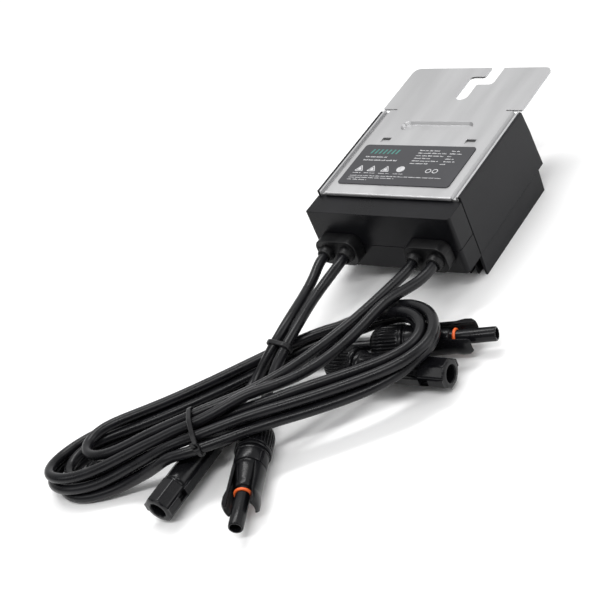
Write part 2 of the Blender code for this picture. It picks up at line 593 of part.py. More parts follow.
def settle(routes):
    """Let the cables push each other apart, off the connectors and off the floor, and stay smooth."""
    lines = [smooth_line(route, STEP) for route in routes]
    rope = np.concatenate([[i] * len(line) for i, line in enumerate(lines)])
    place = np.concatenate([np.arange(len(line)) for line in lines])
    count = np.concatenate([[len(line)] * len(line) for line in lines])
    start = np.concatenate(lines)
    now = start.copy()
    loose = ((place > 4) & (place < count - 5)).astype(float)[:, None]
    first, second = np.triu_indices(len(now), 1)
    apart = (rope[first] != rope[second]) | (np.abs(place[first] - place[second]) * STEP > 3.2 * CABLE_D)
    near = np.linalg.norm(now[first] - now[second], axis=1) < 30.0
    pick = apart & near & ((loose[first, 0] + loose[second, 0]) > 0)
    first, second = first[pick], second[pick]
    inner = np.flatnonzero((place > 0) & (place < count - 1))
    deep = np.flatnonzero((place > 1) & (place < count - 2))
    links = np.flatnonzero(place < count - 1)
    rest = np.linalg.norm(start[links + 1] - start[links], axis=1)
    pegs = connector_pegs()
    wanted = CABLE_D + SETTLE_GAP
    for turn in range(ROUNDS):
        for _ in range(8 if turn < ROUNDS * 0.85 else 2):
            bend = np.zeros_like(now)
            bend[inner] = (now[inner - 1] + now[inner + 1]) / 2 - now[inner]
            pull = np.zeros_like(now)
            pull[deep] = (bend[deep - 1] + bend[deep + 1]) / 2 - bend[deep]
            now -= 0.3 * pull * loose
        now += 0.006 * (start - now) * loose
        for half in (0, 1) * 3:
            low = links[half::2]
            span = now[low + 1] - now[low]
            size = np.linalg.norm(span, axis=1)
            fix = span * ((size - rest[half::2]) / size / 2)[:, None]
            now[low] += fix * loose[low]
            now[low + 1] -= fix * loose[low + 1]
        for _ in range(3):
            gap = now[first] - now[second]
            size = np.linalg.norm(gap, axis=1)
            hit = size < wanted
            push = gap[hit] / np.maximum(size[hit], 1e-6)[:, None] * ((wanted - size[hit]) / 2)[:, None]
            moved, shares = np.zeros_like(now), np.zeros(len(now))
            np.add.at(moved, first[hit], push)
            np.add.at(moved, second[hit], -push)
            np.add.at(shares, first[hit], 1)
            np.add.at(shares, second[hit], 1)
            now += moved / np.sqrt(np.maximum(shares, 1))[:, None] * loose
            for low, high, radius in pegs:
                axis = high - low
                along = np.clip((now - low) @ axis / (axis @ axis), 0, 1)
                out = now - (low + along[:, None] * axis)
                size = np.linalg.norm(out, axis=1)
                keep = radius + CABLE_D / 2 + 0.5
                inside = (size < keep) & (loose[:, 0] > 0)
                now[inside] += out[inside] / size[inside][:, None] * (keep - size[inside])[:, None]
            now[:, 2] = np.maximum(now[:, 2], CABLE_D / 2 + 0.15)
    return [now[rope == i] for i in range(len(lines))]


def thinned(line, tolerance):
    """The same line with only the points that hold its shape to the tolerance."""
    chord = line[-1] - line[0]
    share = np.clip((line - line[0]) @ chord / max(chord @ chord, 1e-9), 0, 1)
    off = np.linalg.norm(line - (line[0] + share[:, None] * chord), axis=1)
    worst = int(off.argmax())
    if len(line) < 3 or off[worst] < tolerance:
        return [line[0], line[-1]]
    return thinned(line[:worst + 1], tolerance)[:-1] + thinned(line[worst:], tolerance)


def make_cable(name, line):
    curve = bpy.data.curves.new(name, "CURVE")
    curve.dimensions = "3D"
    curve.bevel_depth = CABLE_D / 2 * MM
    curve.bevel_resolution = 3
    curve.use_fill_caps = True
    curve.resolution_u = 1
    curve.render_resolution_u = 0
    points = thinned(line, 0.5)
    spline = curve.splines.new("POLY")
    spline.points.add(len(points) - 1)
    for spot, point in zip(spline.points, points):
        spot.co = (*(point * MM), 1.0)
    curve.materials.append(CABLE_JACKET)
    obj = bpy.data.objects.new(name, curve)
    bpy.context.scene.collection.objects.link(obj)


def crossings(lines, spot, normal, reach):
    """Where the cables cut the plane through a spot, within reach of it."""
    found = []
    for line in lines:
        side = (line - spot) @ normal
        for i in np.flatnonzero(side[:-1] * side[1:] < 0):
            point = line[i] + (line[i + 1] - line[i]) * side[i] / (side[i] - side[i + 1])
            if np.linalg.norm(point - spot) < reach:
                found.append(point)
    return found


def hull_reach(circles, angle, radius):
    """How far out from the middle a band around the circles lies, in one direction."""
    ray = np.array([math.cos(angle), math.sin(angle)])
    best = 1e9
    for k in range(90):
        turn = 2 * math.pi * k / 90
        face = np.array([math.cos(turn), math.sin(turn)])
        facing = ray @ face
        if facing > 0.05:
            best = min(best, (max(face @ c for c in circles) + radius) / facing)
    return ray * best


def make_tie(name, lines, spot, normal, reach, width=2.6, thick=1.1):
    """A nylon strap drawn around the cables that cross a plane."""
    normal = np.array(normal, float) / np.linalg.norm(normal)
    across = np.cross([0, 0, 1], normal)
    across /= np.linalg.norm(across)
    up = np.cross(normal, across)
    found = crossings(lines, np.array(spot, float), normal, reach)
    middle = sum(found) / len(found)
    flat = [np.array([(p - middle) @ across, (p - middle) @ up]) for p in found]
    inner_r = CABLE_D / 2 + 0.45
    bm = bmesh.new()
    rings = []
    for k in range(36):
        angle = 2 * math.pi * k / 36
        ring = []
        for radius, end in ((inner_r, -1), (inner_r + thick, -1), (inner_r + thick, 1), (inner_r, 1)):
            u, v = hull_reach(flat, angle, radius)
            ring.append(bm.verts.new(middle + across * u + up * v + normal * end * width / 2))
        rings.append(ring)
    for this, following in zip(rings, rings[1:] + rings[:1]):
        for a in range(4):
            b = (a + 1) % 4
            bm.faces.new((this[a], this[b], following[b], following[a]))
    return new_object(name, bm, BLACK_PLASTIC)


def make_cables():
    names = list(ROUTES)
    lines = settle([full_route(name) for name in names])
    for name, line in zip(names, lines):
        make_cable(name, line)
    make_tie("cable_tie_1", lines[:2], (-29.2, -147.5, 23.2), (-0.11, -0.94, -0.31), 12.0)
    make_tie("cable_tie_2", lines[2:], (-39.0, -217.6, 28.0), (-0.80, -0.58, -0.15), 17.0)


make_heat_sink()
make_side_panel("side_panel_right", 1)
make_side_panel("side_panel_left", -1)
make_mounting_plate()
make_label()
make_lower_shell()
make_upper_shell()
make_gasket()
make_screws()
make_electronics()
make_grommet("grommet_in", -GLAND_X)
make_grommet("grommet_out", GLAND_X)
make_male("male_1")
make_male("male_2")
make_female("female_1")
make_female("female_2")
make_cables()
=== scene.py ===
# Solar power optimizer: finned box, slotted plate and four leads with locking plugs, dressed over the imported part.
import json
import math
import random

import bmesh
import bpy
import numpy as np
from mathutils import Matrix, Vector

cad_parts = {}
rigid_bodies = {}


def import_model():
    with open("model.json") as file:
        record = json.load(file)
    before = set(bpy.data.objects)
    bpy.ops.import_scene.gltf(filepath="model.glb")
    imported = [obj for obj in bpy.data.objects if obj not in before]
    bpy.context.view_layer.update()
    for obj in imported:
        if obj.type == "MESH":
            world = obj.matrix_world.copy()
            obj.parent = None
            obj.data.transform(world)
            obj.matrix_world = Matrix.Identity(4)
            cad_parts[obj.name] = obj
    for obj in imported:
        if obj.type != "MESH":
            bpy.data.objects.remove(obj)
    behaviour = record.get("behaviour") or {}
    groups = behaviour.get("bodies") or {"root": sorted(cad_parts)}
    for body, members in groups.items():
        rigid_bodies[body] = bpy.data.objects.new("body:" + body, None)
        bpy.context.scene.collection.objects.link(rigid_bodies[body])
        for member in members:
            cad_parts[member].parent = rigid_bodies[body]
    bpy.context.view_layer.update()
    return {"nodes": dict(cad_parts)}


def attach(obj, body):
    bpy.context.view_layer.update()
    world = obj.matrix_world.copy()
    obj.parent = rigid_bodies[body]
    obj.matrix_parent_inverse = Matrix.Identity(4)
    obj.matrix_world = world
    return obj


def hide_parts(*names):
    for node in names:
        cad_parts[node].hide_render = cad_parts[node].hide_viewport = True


for leftover in list(bpy.data.objects):
    bpy.data.objects.remove(leftover)

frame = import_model()
nodes = frame["nodes"]
mm = 0.001
print("frame loaded:", len(nodes), "nodes")


# camera

cameraView = {
    "place": (0.50126, -0.60865, 0.51850),
    "turn": (0.866471, 0.378926, 0.277980, 0.168435),  # quaternion
    "lens": 91.695,
    "sensor": 36.0,
}

productCamera = bpy.data.objects.new("productCamera", bpy.data.cameras.new("productCamera"))
bpy.context.scene.collection.objects.link(productCamera)
productCamera.rotation_mode = "QUATERNION"
productCamera.location = cameraView["place"]
productCamera.rotation_quaternion = cameraView["turn"]
productCamera.data.lens = cameraView["lens"]
productCamera.data.sensor_width = cameraView["sensor"]
productCamera.data.clip_start = 0.01
bpy.context.scene.camera = productCamera
print("camera placed")


# finishes: colour and tint are mixed by a broad cloud, grain is the fine bump in waves per metre

finishLooks = {
    "anodisedBlack": {"colour": (0.008, 0.008, 0.0095), "tint": (0.012, 0.012, 0.0135), "rough": (0.34, 0.46),
                      "shine": 0.14, "grain": 1500, "bump": 0.10, "cloud": 35},
    "housingBlack": {"colour": (0.005, 0.005, 0.006), "tint": (0.008, 0.008, 0.0095), "rough": (0.26, 0.36),
                     "shine": 0.14, "grain": 2200, "bump": 0.14, "cloud": 40},
    "sheetSilver": {"colour": (0.44, 0.44, 0.445), "tint": (0.49, 0.49, 0.495), "rough": (0.36, 0.50), "metal": 0.85,
                    "grain": 900, "bump": 0.07, "cloud": 55, "stretch": (1.0, 0.12, 1.0), "scratch": 0.10},
    "labelFilm": {"colour": (0.034, 0.034, 0.038), "tint": (0.041, 0.041, 0.046), "rough": (0.46, 0.56),
                  "shine": 0.35, "grain": 3000, "bump": 0.05, "cloud": 60},
    "labelInk": {"colour": (0.55, 0.55, 0.56), "tint": (0.42, 0.42, 0.43), "rough": (0.45, 0.6),
                 "grain": 3000, "bump": 0.04, "cloud": 500},
    "labelTeal": {"colour": (0.045, 0.20, 0.17), "tint": (0.035, 0.15, 0.13), "rough": (0.45, 0.6),
                  "grain": 3000, "bump": 0.04, "cloud": 500},
    "glandRubber": {"colour": (0.003, 0.003, 0.0035), "tint": (0.006, 0.006, 0.0065), "rough": (0.36, 0.48),
                    "shine": 0.22, "grain": 1600, "bump": 0.16, "cloud": 120},
    "jacketBlack": {"colour": (0.004, 0.004, 0.005), "tint": (0.007, 0.007, 0.0085), "rough": (0.24, 0.33),
                    "shine": 0.26, "grain": 1300, "bump": 0.06, "cloud": 90},
    "plugBlack": {"colour": (0.004, 0.004, 0.005), "tint": (0.007, 0.007, 0.008), "rough": (0.18, 0.28),
                  "shine": 0.20, "grain": 2400, "bump": 0.10, "cloud": 110},
    "tieNylon": {"colour": (0.005, 0.005, 0.006), "tint": (0.009, 0.009, 0.010), "rough": (0.28, 0.40),
                 "shine": 0.30, "grain": 1800, "bump": 0.08, "cloud": 150},
    "ringOrange": {"colour": (0.78, 0.115, 0.018), "tint": (0.86, 0.15, 0.03), "rough": (0.34, 0.46),
                   "grain": 2600, "bump": 0.06, "cloud": 200},
    "contactTin": {"colour": (0.70, 0.70, 0.68), "tint": (0.78, 0.77, 0.74), "rough": (0.20, 0.34), "metal": 1.0,
                   "grain": 1800, "bump": 0.05, "cloud": 300},
    "screwZinc": {"colour": (0.50, 0.50, 0.51), "tint": (0.62, 0.62, 0.62), "rough": (0.28, 0.42), "metal": 1.0,
                  "grain": 1500, "bump": 0.08, "cloud": 250, "scratch": 0.15},
    "boardGreen": {"colour": (0.015, 0.11, 0.045), "tint": (0.022, 0.15, 0.065), "rough": (0.30, 0.42),
                   "grain": 1400, "bump": 0.08, "cloud": 120},
    "coreGrey": {"colour": (0.055, 0.055, 0.060), "tint": (0.080, 0.080, 0.085), "rough": (0.55, 0.72),
                 "grain": 1900, "bump": 0.16, "cloud": 150},
    "coilCopper": {"colour": (0.62, 0.27, 0.12), "tint": (0.72, 0.34, 0.17), "rough": (0.26, 0.38), "metal": 1.0,
                   "grain": 700, "bump": 0.22, "cloud": 120, "stretch": (1.0, 0.1, 1.0)},
    "padGrey": {"colour": (0.30, 0.33, 0.37), "tint": (0.36, 0.39, 0.43), "rough": (0.70, 0.85),
                "grain": 1200, "bump": 0.20, "cloud": 90},
}


def makeFinish(name, look):
    finish = bpy.data.materials.new(name)
    finish.use_nodes = True
    tree = finish.node_tree
    shader = tree.nodes["Principled BSDF"]
    place = tree.nodes.new("ShaderNodeTexCoord")

    stretch = tree.nodes.new("ShaderNodeMapping")
    stretch.inputs["Scale"].default_value = look.get("stretch", (1.0, 1.0, 1.0))
    tree.links.new(place.outputs["Object"], stretch.inputs["Vector"])

    cloud = tree.nodes.new("ShaderNodeTexNoise")  # slow changes of tone and gloss
    cloud.inputs["Scale"].default_value = look["cloud"]
    cloud.inputs["Detail"].default_value = 5.0
    tree.links.new(stretch.outputs["Vector"], cloud.inputs["Vector"])

    grain = tree.nodes.new("ShaderNodeTexNoise")  # the fine skin of the material
    grain.inputs["Scale"].default_value = look["grain"]
    grain.inputs["Detail"].default_value = 3.0
    tree.links.new(stretch.outputs["Vector"], grain.inputs["Vector"])

    tone = tree.nodes.new("ShaderNodeValToRGB")
    tone.color_ramp.elements[0].position = 0.35
    tone.color_ramp.elements[0].color = (*look["colour"], 1.0)
    tone.color_ramp.elements[1].position = 0.65
    tone.color_ramp.elements[1].color = (*look["tint"], 1.0)
    tree.links.new(cloud.outputs["Fac"], tone.inputs["Fac"])
    tree.links.new(tone.outputs["Color"], shader.inputs["Base Color"])

    both = tree.nodes.new("ShaderNodeMath")  # grain breaks up the gloss a little too
    both.operation = "ADD"
    faint = tree.nodes.new("ShaderNodeMath")
    faint.operation = "MULTIPLY"
    faint.inputs[1].default_value = 0.25
    tree.links.new(grain.outputs["Fac"], faint.inputs[0])
    tree.links.new(cloud.outputs["Fac"], both.inputs[0])
    tree.links.new(faint.outputs["Value"], both.inputs[1])
    gloss = tree.nodes.new("ShaderNodeMapRange")
    gloss.inputs["From Min"].default_value = 0.4
    gloss.inputs["From Max"].default_value = 0.85
    gloss.inputs["To Min"].default_value = look["rough"][0]
    gloss.inputs["To Max"].default_value = look["rough"][1]
    tree.links.new(both.outputs["Value"], gloss.inputs["Value"])

    height = grain.outputs["Fac"]
    if "scratch" in look:  # long fine handling marks
        marks = tree.nodes.new("ShaderNodeTexNoise")
        marks.inputs["Scale"].default_value = 260.0
        marks.inputs["Detail"].default_value = 2.0
        skew = tree.nodes.new("ShaderNodeMapping")
        skew.inputs["Scale"].default_value = (0.08, 1.0, 1.0)
        skew.inputs["Rotation"].default_value = (0.0, 0.0, 0.35)
        tree.links.new(place.outputs["Object"], skew.inputs["Vector"])
        tree.links.new(skew.outputs["Vector"], marks.inputs["Vector"])
        joined = tree.nodes.new("ShaderNodeMath")
        joined.operation = "MULTIPLY_ADD"
        joined.inputs[1].default_value = look["scratch"]
        tree.links.new(marks.outputs["Fac"], joined.inputs[0])
        tree.links.new(grain.outputs["Fac"], joined.inputs[2])
        height = joined.outputs["Value"]

    relief = tree.nodes.new("ShaderNodeBump")
    relief.inputs["Strength"].default_value = look["bump"]
    relief.inputs["Distance"].default_value = 0.15 * mm
    tree.links.new(height, relief.inputs["Height"])
    tree.links.new(relief.outputs["Normal"], shader.inputs["Normal"])
    tree.links.new(gloss.outputs["Result"], shader.inputs["Roughness"])
    shader.inputs["Metallic"].default_value = look.get("metal", 0.0)
    shader.inputs["Specular IOR Level"].default_value = look.get("shine", 0.5)
    return finish


finishes = {name: makeFinish(name, look) for name, look in finishLooks.items()}
print("finishes made:", len(finishes))


# shaping tools, all in millimetres in the part's own frame

def outlineWithRounds(corners, radii, steps=10):
    outline = []
    count = len(corners)
    for i, radius in enumerate(radii):
        here = Vector(corners[i])
        if radius <= 0:
            outline.append(tuple(here))
            continue
        back = (Vector(corners[i - 1]) - here).normalized()
        ahead = (Vector(corners[(i + 1) % count]) - here).normalized()
        half = math.acos(max(-1.0, min(1.0, back.dot(ahead)))) / 2
        start = here + back * radius / math.tan(half)
        end = here + ahead * radius / math.tan(half)
        middle = here + (back + ahead).normalized() * radius / math.sin(half)
        first, last = start - middle, end - middle
        sweep = math.pi - 2 * half
        for k in range(steps + 1):
            share = k / steps
            arm = (first * math.sin((1 - share) * sweep) + last * math.sin(share * sweep)) / math.sin(sweep)
            outline.append(tuple(middle + arm))
    return outline


def longHole(centreX, centreY, width, height, steps=12):
    radius = height / 2
    outline = []
    for side in (1, -1):
        for k in range(steps + 1):
            angle = -math.pi / 2 + math.pi * k / steps
            outline.append((centreX + side * (width / 2 - radius + radius * math.cos(angle)),
                            centreY + side * radius * math.sin(angle)))
    return outline


def meshOf(name, bm, place=None):
    if place is not None:
        bmesh.ops.transform(bm, matrix=place, verts=bm.verts)
    bmesh.ops.remove_doubles(bm, verts=bm.verts, dist=0.002 * mm)
    bmesh.ops.recalc_face_normals(bm, faces=bm.faces)
    mesh = bpy.data.meshes.new(name)
    bm.to_mesh(mesh)
    bm.free()
    piece = bpy.data.objects.new(name, mesh)
    bpy.context.scene.collection.objects.link(piece)
    return piece


def addLoops(bm, loops, closed=False, capped=True):
    rings = [[bm.verts.new(Vector(point) * mm) for point in loop] for loop in loops]
    pairs = list(zip(rings, rings[1:])) + ([(rings[-1], rings[0])] if closed else [])
    for this, following in pairs:
        for k in range(len(this)):
            ahead = (k + 1) % len(this)
            bm.faces.new((this[k], this[ahead], following[ahead], following[k]))
    if capped and not closed:
        bm.faces.new(rings[0][::-1])
        bm.faces.new(rings[-1])


def pushed(name, outline, low, high, axis="Z", place=None):
    order = {"Z": (0, 1, 2), "Y": (0, 2, 1), "X": (2, 0, 1)}[axis]
    loops = [[[(u, v, level)[i] for i in order] for u, v in outline] for level in (low, high)]
    bm = bmesh.new()
    addLoops(bm, loops)
    return meshOf(name, bm, place)


def turned(name, profile, columns=64, shape=None, place=None):
    # profile is (radius, along), and shape scales the radius by angle and distance along
    bm = bmesh.new()
    loops = []
    for radius, along in profile:
        ring = []
        for k in range(columns):
            angle = 2 * math.pi * k / columns
            r = radius * (shape(angle, radius, along) if shape else 1.0)
            ring.append((r * math.cos(angle), r * math.sin(angle), along))
        loops.append(ring)
    hollow = profile[0][0] > 0 and profile[-1][0] > 0
    addLoops(bm, loops, closed=hollow, capped=False)
    return meshOf(name, bm, place)


def boxOf(name, low, high, place=None):
    (x0, y0, z0), (x1, y1, z1) = low, high
    return pushed(name, [(x0, y0), (x1, y0), (x1, y1), (x0, y1)], z0, z1, place=place)


def shapeWith(piece, tools, operation="DIFFERENCE"):
    for tool in tools:
        step = piece.modifiers.new("step", "BOOLEAN")
        step.operation = operation
        step.solver = "EXACT"
        step.object = tool
    bpy.context.view_layer.update()
    result = bpy.data.meshes.new_from_object(piece.evaluated_get(bpy.context.evaluated_depsgraph_get()))
    piece.modifiers.clear()
    result.name = piece.name
    piece.data = result
    for tool in tools:
        bpy.data.objects.remove(tool)
    return piece


def soften(piece, width, segments=2, angle=32):
    piece.data.shade_smooth()
    edges = piece.modifiers.new("edgeRound", "BEVEL")
    edges.width = width * mm
    edges.segments = segments
    edges.limit_method = "ANGLE"
    edges.angle_limit = math.radians(angle)
    shading = piece.modifiers.new("evenShading", "WEIGHTED_NORMAL")
    shading.keep_sharp = True


def dress(piece, finish, stands=(), body="root"):
    piece.data.materials.clear()
    piece.data.materials.append(finishes[finish])
    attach(piece, body)
    if stands:
        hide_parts(*stands)
    return piece


# sheet metal parts and housing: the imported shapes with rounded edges

softenedParts = {
    "heat_sink": ("heatSink", 0.16, "anodisedBlack", "black_anodised"),
    "side_panel_left": ("sidePanelLeft", 0.20, "anodisedBlack", "black_anodised"),
    "side_panel_right": ("sidePanelRight", 0.20, "anodisedBlack", "black_anodised"),
    "housing_lower_shell": ("housingLower", 0.22, "housingBlack", "housing_plastic"),
    "housing_upper_shell": ("housingUpper", 0.22, "housingBlack", "housing_plastic"),
}


def softenedCopy(node, name, width, finish):
    bm = bmesh.new()
    bm.from_mesh(nodes[node].data)
    bmesh.ops.remove_doubles(bm, verts=bm.verts, dist=0.002 * mm)
    bmesh.ops.dissolve_limit(bm, angle_limit=math.radians(1.0), verts=bm.verts, edges=bm.edges)
    piece = meshOf(name, bm)
    soften(piece, width)
    return dress(piece, finish, (node,))


for node, (name, width, finish, slot) in softenedParts.items():
    softenedCopy(node, name, width, finish)
print("box made")


# mounting plate: gutters along the sides, a rolled front lip, a pressed bar, two lances and a stepped bolt slot

plateSize = {
    "top": 56.2, "thick": 1.3, "front": -49.2, "bend": 33.8, "rear": 78.0,
    "tongueHalf": 49.4, "neckHalf": 38.8, "gutterDepth": 2.0, "overlap": 3.0, "cornerRound": 5.0,
    "lipHalf": 43.9, "lipLow": 54.0, "lipOut": 1.1, "lipIn": 0.4,
    "pressing": (-1.2, 16.9, 50.4, 9.0), "panWider": 2.2, "panDrop": 1.2,
    "slotCorners": [(6.9, 80.0), (6.9, 68.3), (-3.3, 68.3), (-3.3, 44.1), (5.0, 44.1), (5.0, 60.1), (16.0, 60.1),
                    (16.0, 80.0)],
    "slotRounds": [0, 1.6, 3.0, 4.1, 4.1, 1.6, 3.0, 0],
    "lances": ((-32.5, -26.5), (26.8, 33.4)), "lanceY": (3.1, 4.5), "rampLong": 3.7, "slitWide": 0.9,
    "cutLow": 50.0, "cutHigh": 60.0,
}


def makePlate():
    top, thick = plateSize["top"], plateSize["thick"]
    under, floorTop = top - thick, top - plateSize["gutterDepth"]
    floorUnder = floorTop - thick
    bend, rear, half, neck = (plateSize[key] for key in ("bend", "rear", "tongueHalf", "neckHalf"))
    right = [(43.3, top), (44.8, floorTop), (46.7, floorTop), (46.9, top), (48.2, top), (48.2, floorUnder),
             (44.1, floorUnder), (42.6, under)]
    section = [(-x, z) for x, z in reversed(right)] + right
    plate = pushed("mountingPlate", section, plateSize["front"], bend - 1.0, "Y")
    hidden, turn = bend - plateSize["overlap"], plateSize["cornerRound"]
    corners = [(-neck, hidden), (neck, hidden), (neck, bend), (half, bend), (half, rear), (-half, rear),
               (-half, bend), (-neck, bend)]
    tongue = pushed("plateTongue", outlineWithRounds(corners, [0, 0, 0, 1.0, turn, turn, 1.0, 0]), under, top)
    lipFront, lipRear = plateSize["front"] - plateSize["lipOut"], plateSize["front"] + plateSize["lipIn"]
    lipLow, lipTop = plateSize["lipLow"], top - 0.1
    lipSection = outlineWithRounds([(lipFront, lipLow), (lipRear, lipLow), (lipRear, lipTop), (lipFront, lipTop)],
                                   [0.3, 0, 0, 0.9], 5)
    lip = pushed("plateLip", lipSection, -plateSize["lipHalf"], plateSize["lipHalf"], "X")
    x, y, width, height = plateSize["pressing"]
    wider = plateSize["panWider"]
    pan = pushed("platePan", longHole(x, y, width + wider, height + wider), under - plateSize["panDrop"], under + 0.3)
    shapeWith(plate, [tongue, lip, pan], "UNION")
    cutLow, cutHigh = plateSize["cutLow"], plateSize["cutHigh"]
    slot = pushed("boltSlot", outlineWithRounds(plateSize["slotCorners"], plateSize["slotRounds"]), cutLow, cutHigh)
    bm = bmesh.new()  # the pressing has sloping walls
    loops = []
    for level, grow in ((under - 0.5, -1.1), (top - 0.35, -0.2), (top, 0.15), (top + 0.3, 0.45)):
        loops.append([(u, v, level) for u, v in longHole(x, y, width + 2 * grow, height + 2 * grow)])
    addLoops(bm, loops)
    pressing = meshOf("pressing", bm)
    low, high = plateSize["lanceY"]
    foot = low - plateSize["rampLong"]
    ramp = [(foot, top), (high - 0.6, top - 1.1), (high, top - 1.3), (high, top + 1.0), (foot, top + 1.0)]
    lances = []
    for k, (x0, x1) in enumerate(plateSize["lances"]):  # each is pressed down as a ramp that ends in an open slit
        slit = boxOf(f"lance{k}", (x0, high - plateSize["slitWide"], cutLow), (x1, high, cutHigh))
        lances.append(shapeWith(slit, [pushed(f"ramp{k}", ramp, x0, x1, "X")], "UNION"))
    shapeWith(plate, [slot, pressing, *lances])
    soften(plate, 0.22, angle=28)
    dress(plate, "sheetSilver", ("mounting_plate",))


makePlate()
print("plate made")


# label: a dark film with plain printed bars, signs and rings that say nothing

labelPlan = {
    "corners": [(-39.8, -41.5), (37.9, -41.5), (37.9, -3.6), (-39.8, -3.6)], "radius": 2.2,
    "low": 56.25, "top": 56.8, "ink": 56.84,
    "tealMark": (-32.5, -11.5, -12.4, -8.2),  # left, right, low, high
    "wordRows": [  # left, right, middle y, height
        (-33.6, -18.0, -15.7, 1.15), (-33.6, -9.6, -18.8, 1.25),
        (1.2, 15.4, -8.4, 0.95), (23.4, 29.8, -8.4, 0.95), (1.2, 20.6, -10.9, 0.95), (23.2, 32.2, -10.9, 0.95),
        (1.0, 20.2, -13.4, 0.95), (22.8, 26.0, -13.4, 0.95), (1.0, 13.4, -15.9, 0.95), (22.6, 28.4, -15.9, 0.95),
        (0.8, 19.0, -18.4, 0.95), (22.8, 30.4, -18.4, 0.95), (0.8, 13.0, -20.9, 0.95), (21.6, 26.4, -20.9, 0.95),
        (-34.2, -28.4, -31.2, 0.7), (-26.2, -18.4, -31.2, 0.7), (-15.8, -8.6, -31.2, 0.7), (-5.4, 1.2, -31.2, 0.7),
        (-34.6, 29.0, -33.9, 0.75), (-34.6, -2.4, -35.7, 0.75), (-34.6, -20.4, -37.6, 0.75),
    ],
    "triangles": (-31.2, -22.4, -12.6), "disc": -2.4, "signY": -26.6, "signHalf": 3.2,
    "rings": ((17.2, -27.4), (21.8, -27.4)), "ringRadius": (1.9, 1.35),
}


def makeLabel():
    film = pushed("labelFilm", outlineWithRounds(labelPlan["corners"], [labelPlan["radius"]] * 4),
                  labelPlan["low"], labelPlan["top"])
    soften(film, 0.08)
    dress(film, "labelFilm", ("rating_label",))

    chance = random.Random(4)
    low, high = labelPlan["top"] - 0.05, labelPlan["ink"]
    ink = bmesh.new()

    def stamp(bm, outline):
        addLoops(bm, [[(x, y, level) for x, y in outline] for level in (low, high)])

    for left, right, y, tall in labelPlan["wordRows"]:  # words of small upright bars
        x = left
        while x < right - 0.5:
            wordEnd = min(x + chance.uniform(2.2, 5.2), right)
            while x < wordEnd - 0.2:
                wide = chance.uniform(0.28, 0.62)
                bar = tall * chance.choice((0.62, 0.62, 0.8, 1.0)) / 2
                stamp(ink, [(x, y - tall / 3), (x + wide, y - tall / 3), (x + wide, y - tall / 3 + 2 * bar),
                            (x, y - tall / 3 + 2 * bar)])
                x += wide + 0.16
            x += chance.uniform(0.5, 0.8)

    y, half = labelPlan["signY"], labelPlan["signHalf"]
    for x in labelPlan["triangles"]:  # triangle frames, each with a small solid one inside
        frameOut = outlineWithRounds([(x - half, y - 2.8), (x + half, y - 2.8), (x, y + 2.9)], [0.5] * 3, 4)
        frameIn = [(x + (u - x) * 0.72, y - 0.95 + (v - y + 0.95) * 0.72) for u, v in frameOut]
        bands = [[(u, v, level) for u, v in outline]
                 for outline, level in ((frameOut, low), (frameOut, high), (frameIn, high), (frameIn, low))]
        addLoops(ink, bands, closed=True)
        stamp(ink, [(x + (u - x) * 0.52, y - 0.95 + (v - y + 0.95) * 0.52) for u, v in frameOut])
    x = labelPlan["disc"]
    stamp(ink, [(x + 2.7 * math.cos(a), y + 2.7 * math.sin(a)) for a in np.linspace(0, 2 * math.pi, 28, False)])
    outer, inner = labelPlan["ringRadius"]
    for x, ringY in labelPlan["rings"]:
        angles = np.linspace(0, 2 * math.pi, 24, False)
        addLoops(ink, [[(x + r * math.cos(a), ringY + r * math.sin(a), level) for a in angles]
                       for r, level in ((outer, low), (outer, high), (inner, high), (inner, low))], closed=True)
    dress(meshOf("labelPrint", ink), "labelInk")

    teal = bmesh.new()
    left, right, bottom, top = labelPlan["tealMark"]
    count, lean = 7, 0.9
    pitch = (right - left) / count
    for k in range(count):  # a plain row of leaning cells
        x = left + k * pitch
        stamp(teal, [(x, bottom), (x + pitch * 0.42, bottom), (x + pitch * 0.42 + lean, top), (x + lean, top)])
    dress(meshOf("labelMark", teal), "labelTeal")


makeLabel()
print("label made")


# double cable glands: a rounded rubber block on the wall with a short sleeve for each lead

glandSize = {
    "wallY": -65.4, "spots": {"glandIn": (-31.0, "grommet_in"), "glandOut": (31.0, "grommet_out")}, "z": 30.0,
    "leadOffset": 7.0, "leadHole": 3.4,
    "sections": [  # y, width, height, corner radius
        (-61.0, 26.4, 12.8, 6.3), (-65.75, 26.4, 12.8, 6.3), (-65.75, 27.6, 16.8, 5.6), (-66.2, 28.4, 17.6, 6.0),
        (-73.6, 28.4, 17.6, 6.0), (-74.0, 28.0, 17.2, 5.8), (-74.2, 27.2, 16.4, 5.4),
    ],
    "sleeve": [(0.0, 0.0), (5.2, 0.0), (5.2, 9.4), (5.0, 10.4), (4.7, 12.1), (4.4, 12.6), (0.0, 12.6)],
}


def makeGland(name, x, node):
    bm, loops = bmesh.new(), []
    z = glandSize["z"]
    for y, wide, tall, radius in glandSize["sections"]:
        u, v = wide / 2, tall / 2
        outline = outlineWithRounds([(x - u, z - v), (x + u, z - v), (x + u, z + v), (x - u, z + v)], [radius] * 4)
        loops.append([(u, y, v) for u, v in outline])
    addLoops(bm, loops)
    gland = meshOf(name, bm)
    outward = Matrix.Rotation(math.radians(90), 4, "X")
    sleeves, holes = [], []
    for side in (-1, 1):
        spot = Vector((x + side * glandSize["leadOffset"], glandSize["wallY"], glandSize["z"])) * mm
        place = Matrix.Translation(spot) @ outward
        sleeves.append(turned(f"{name}Sleeve{side}", glandSize["sleeve"], 40, place=place))
        radius = glandSize["leadHole"]
        holes.append(turned(f"{name}Hole{side}", [(0.0, -30.0), (radius, -30.0), (radius, 20.0), (0.0, 20.0)], 40,
                            place=place))
    shapeWith(gland, sleeves, "UNION")
    shapeWith(gland, holes)
    soften(gland, 0.18)
    dress(gland, "glandRubber", (node,))


for name, (x, node) in glandSize["spots"].items():
    makeGland(name, x, node)
print("glands made")


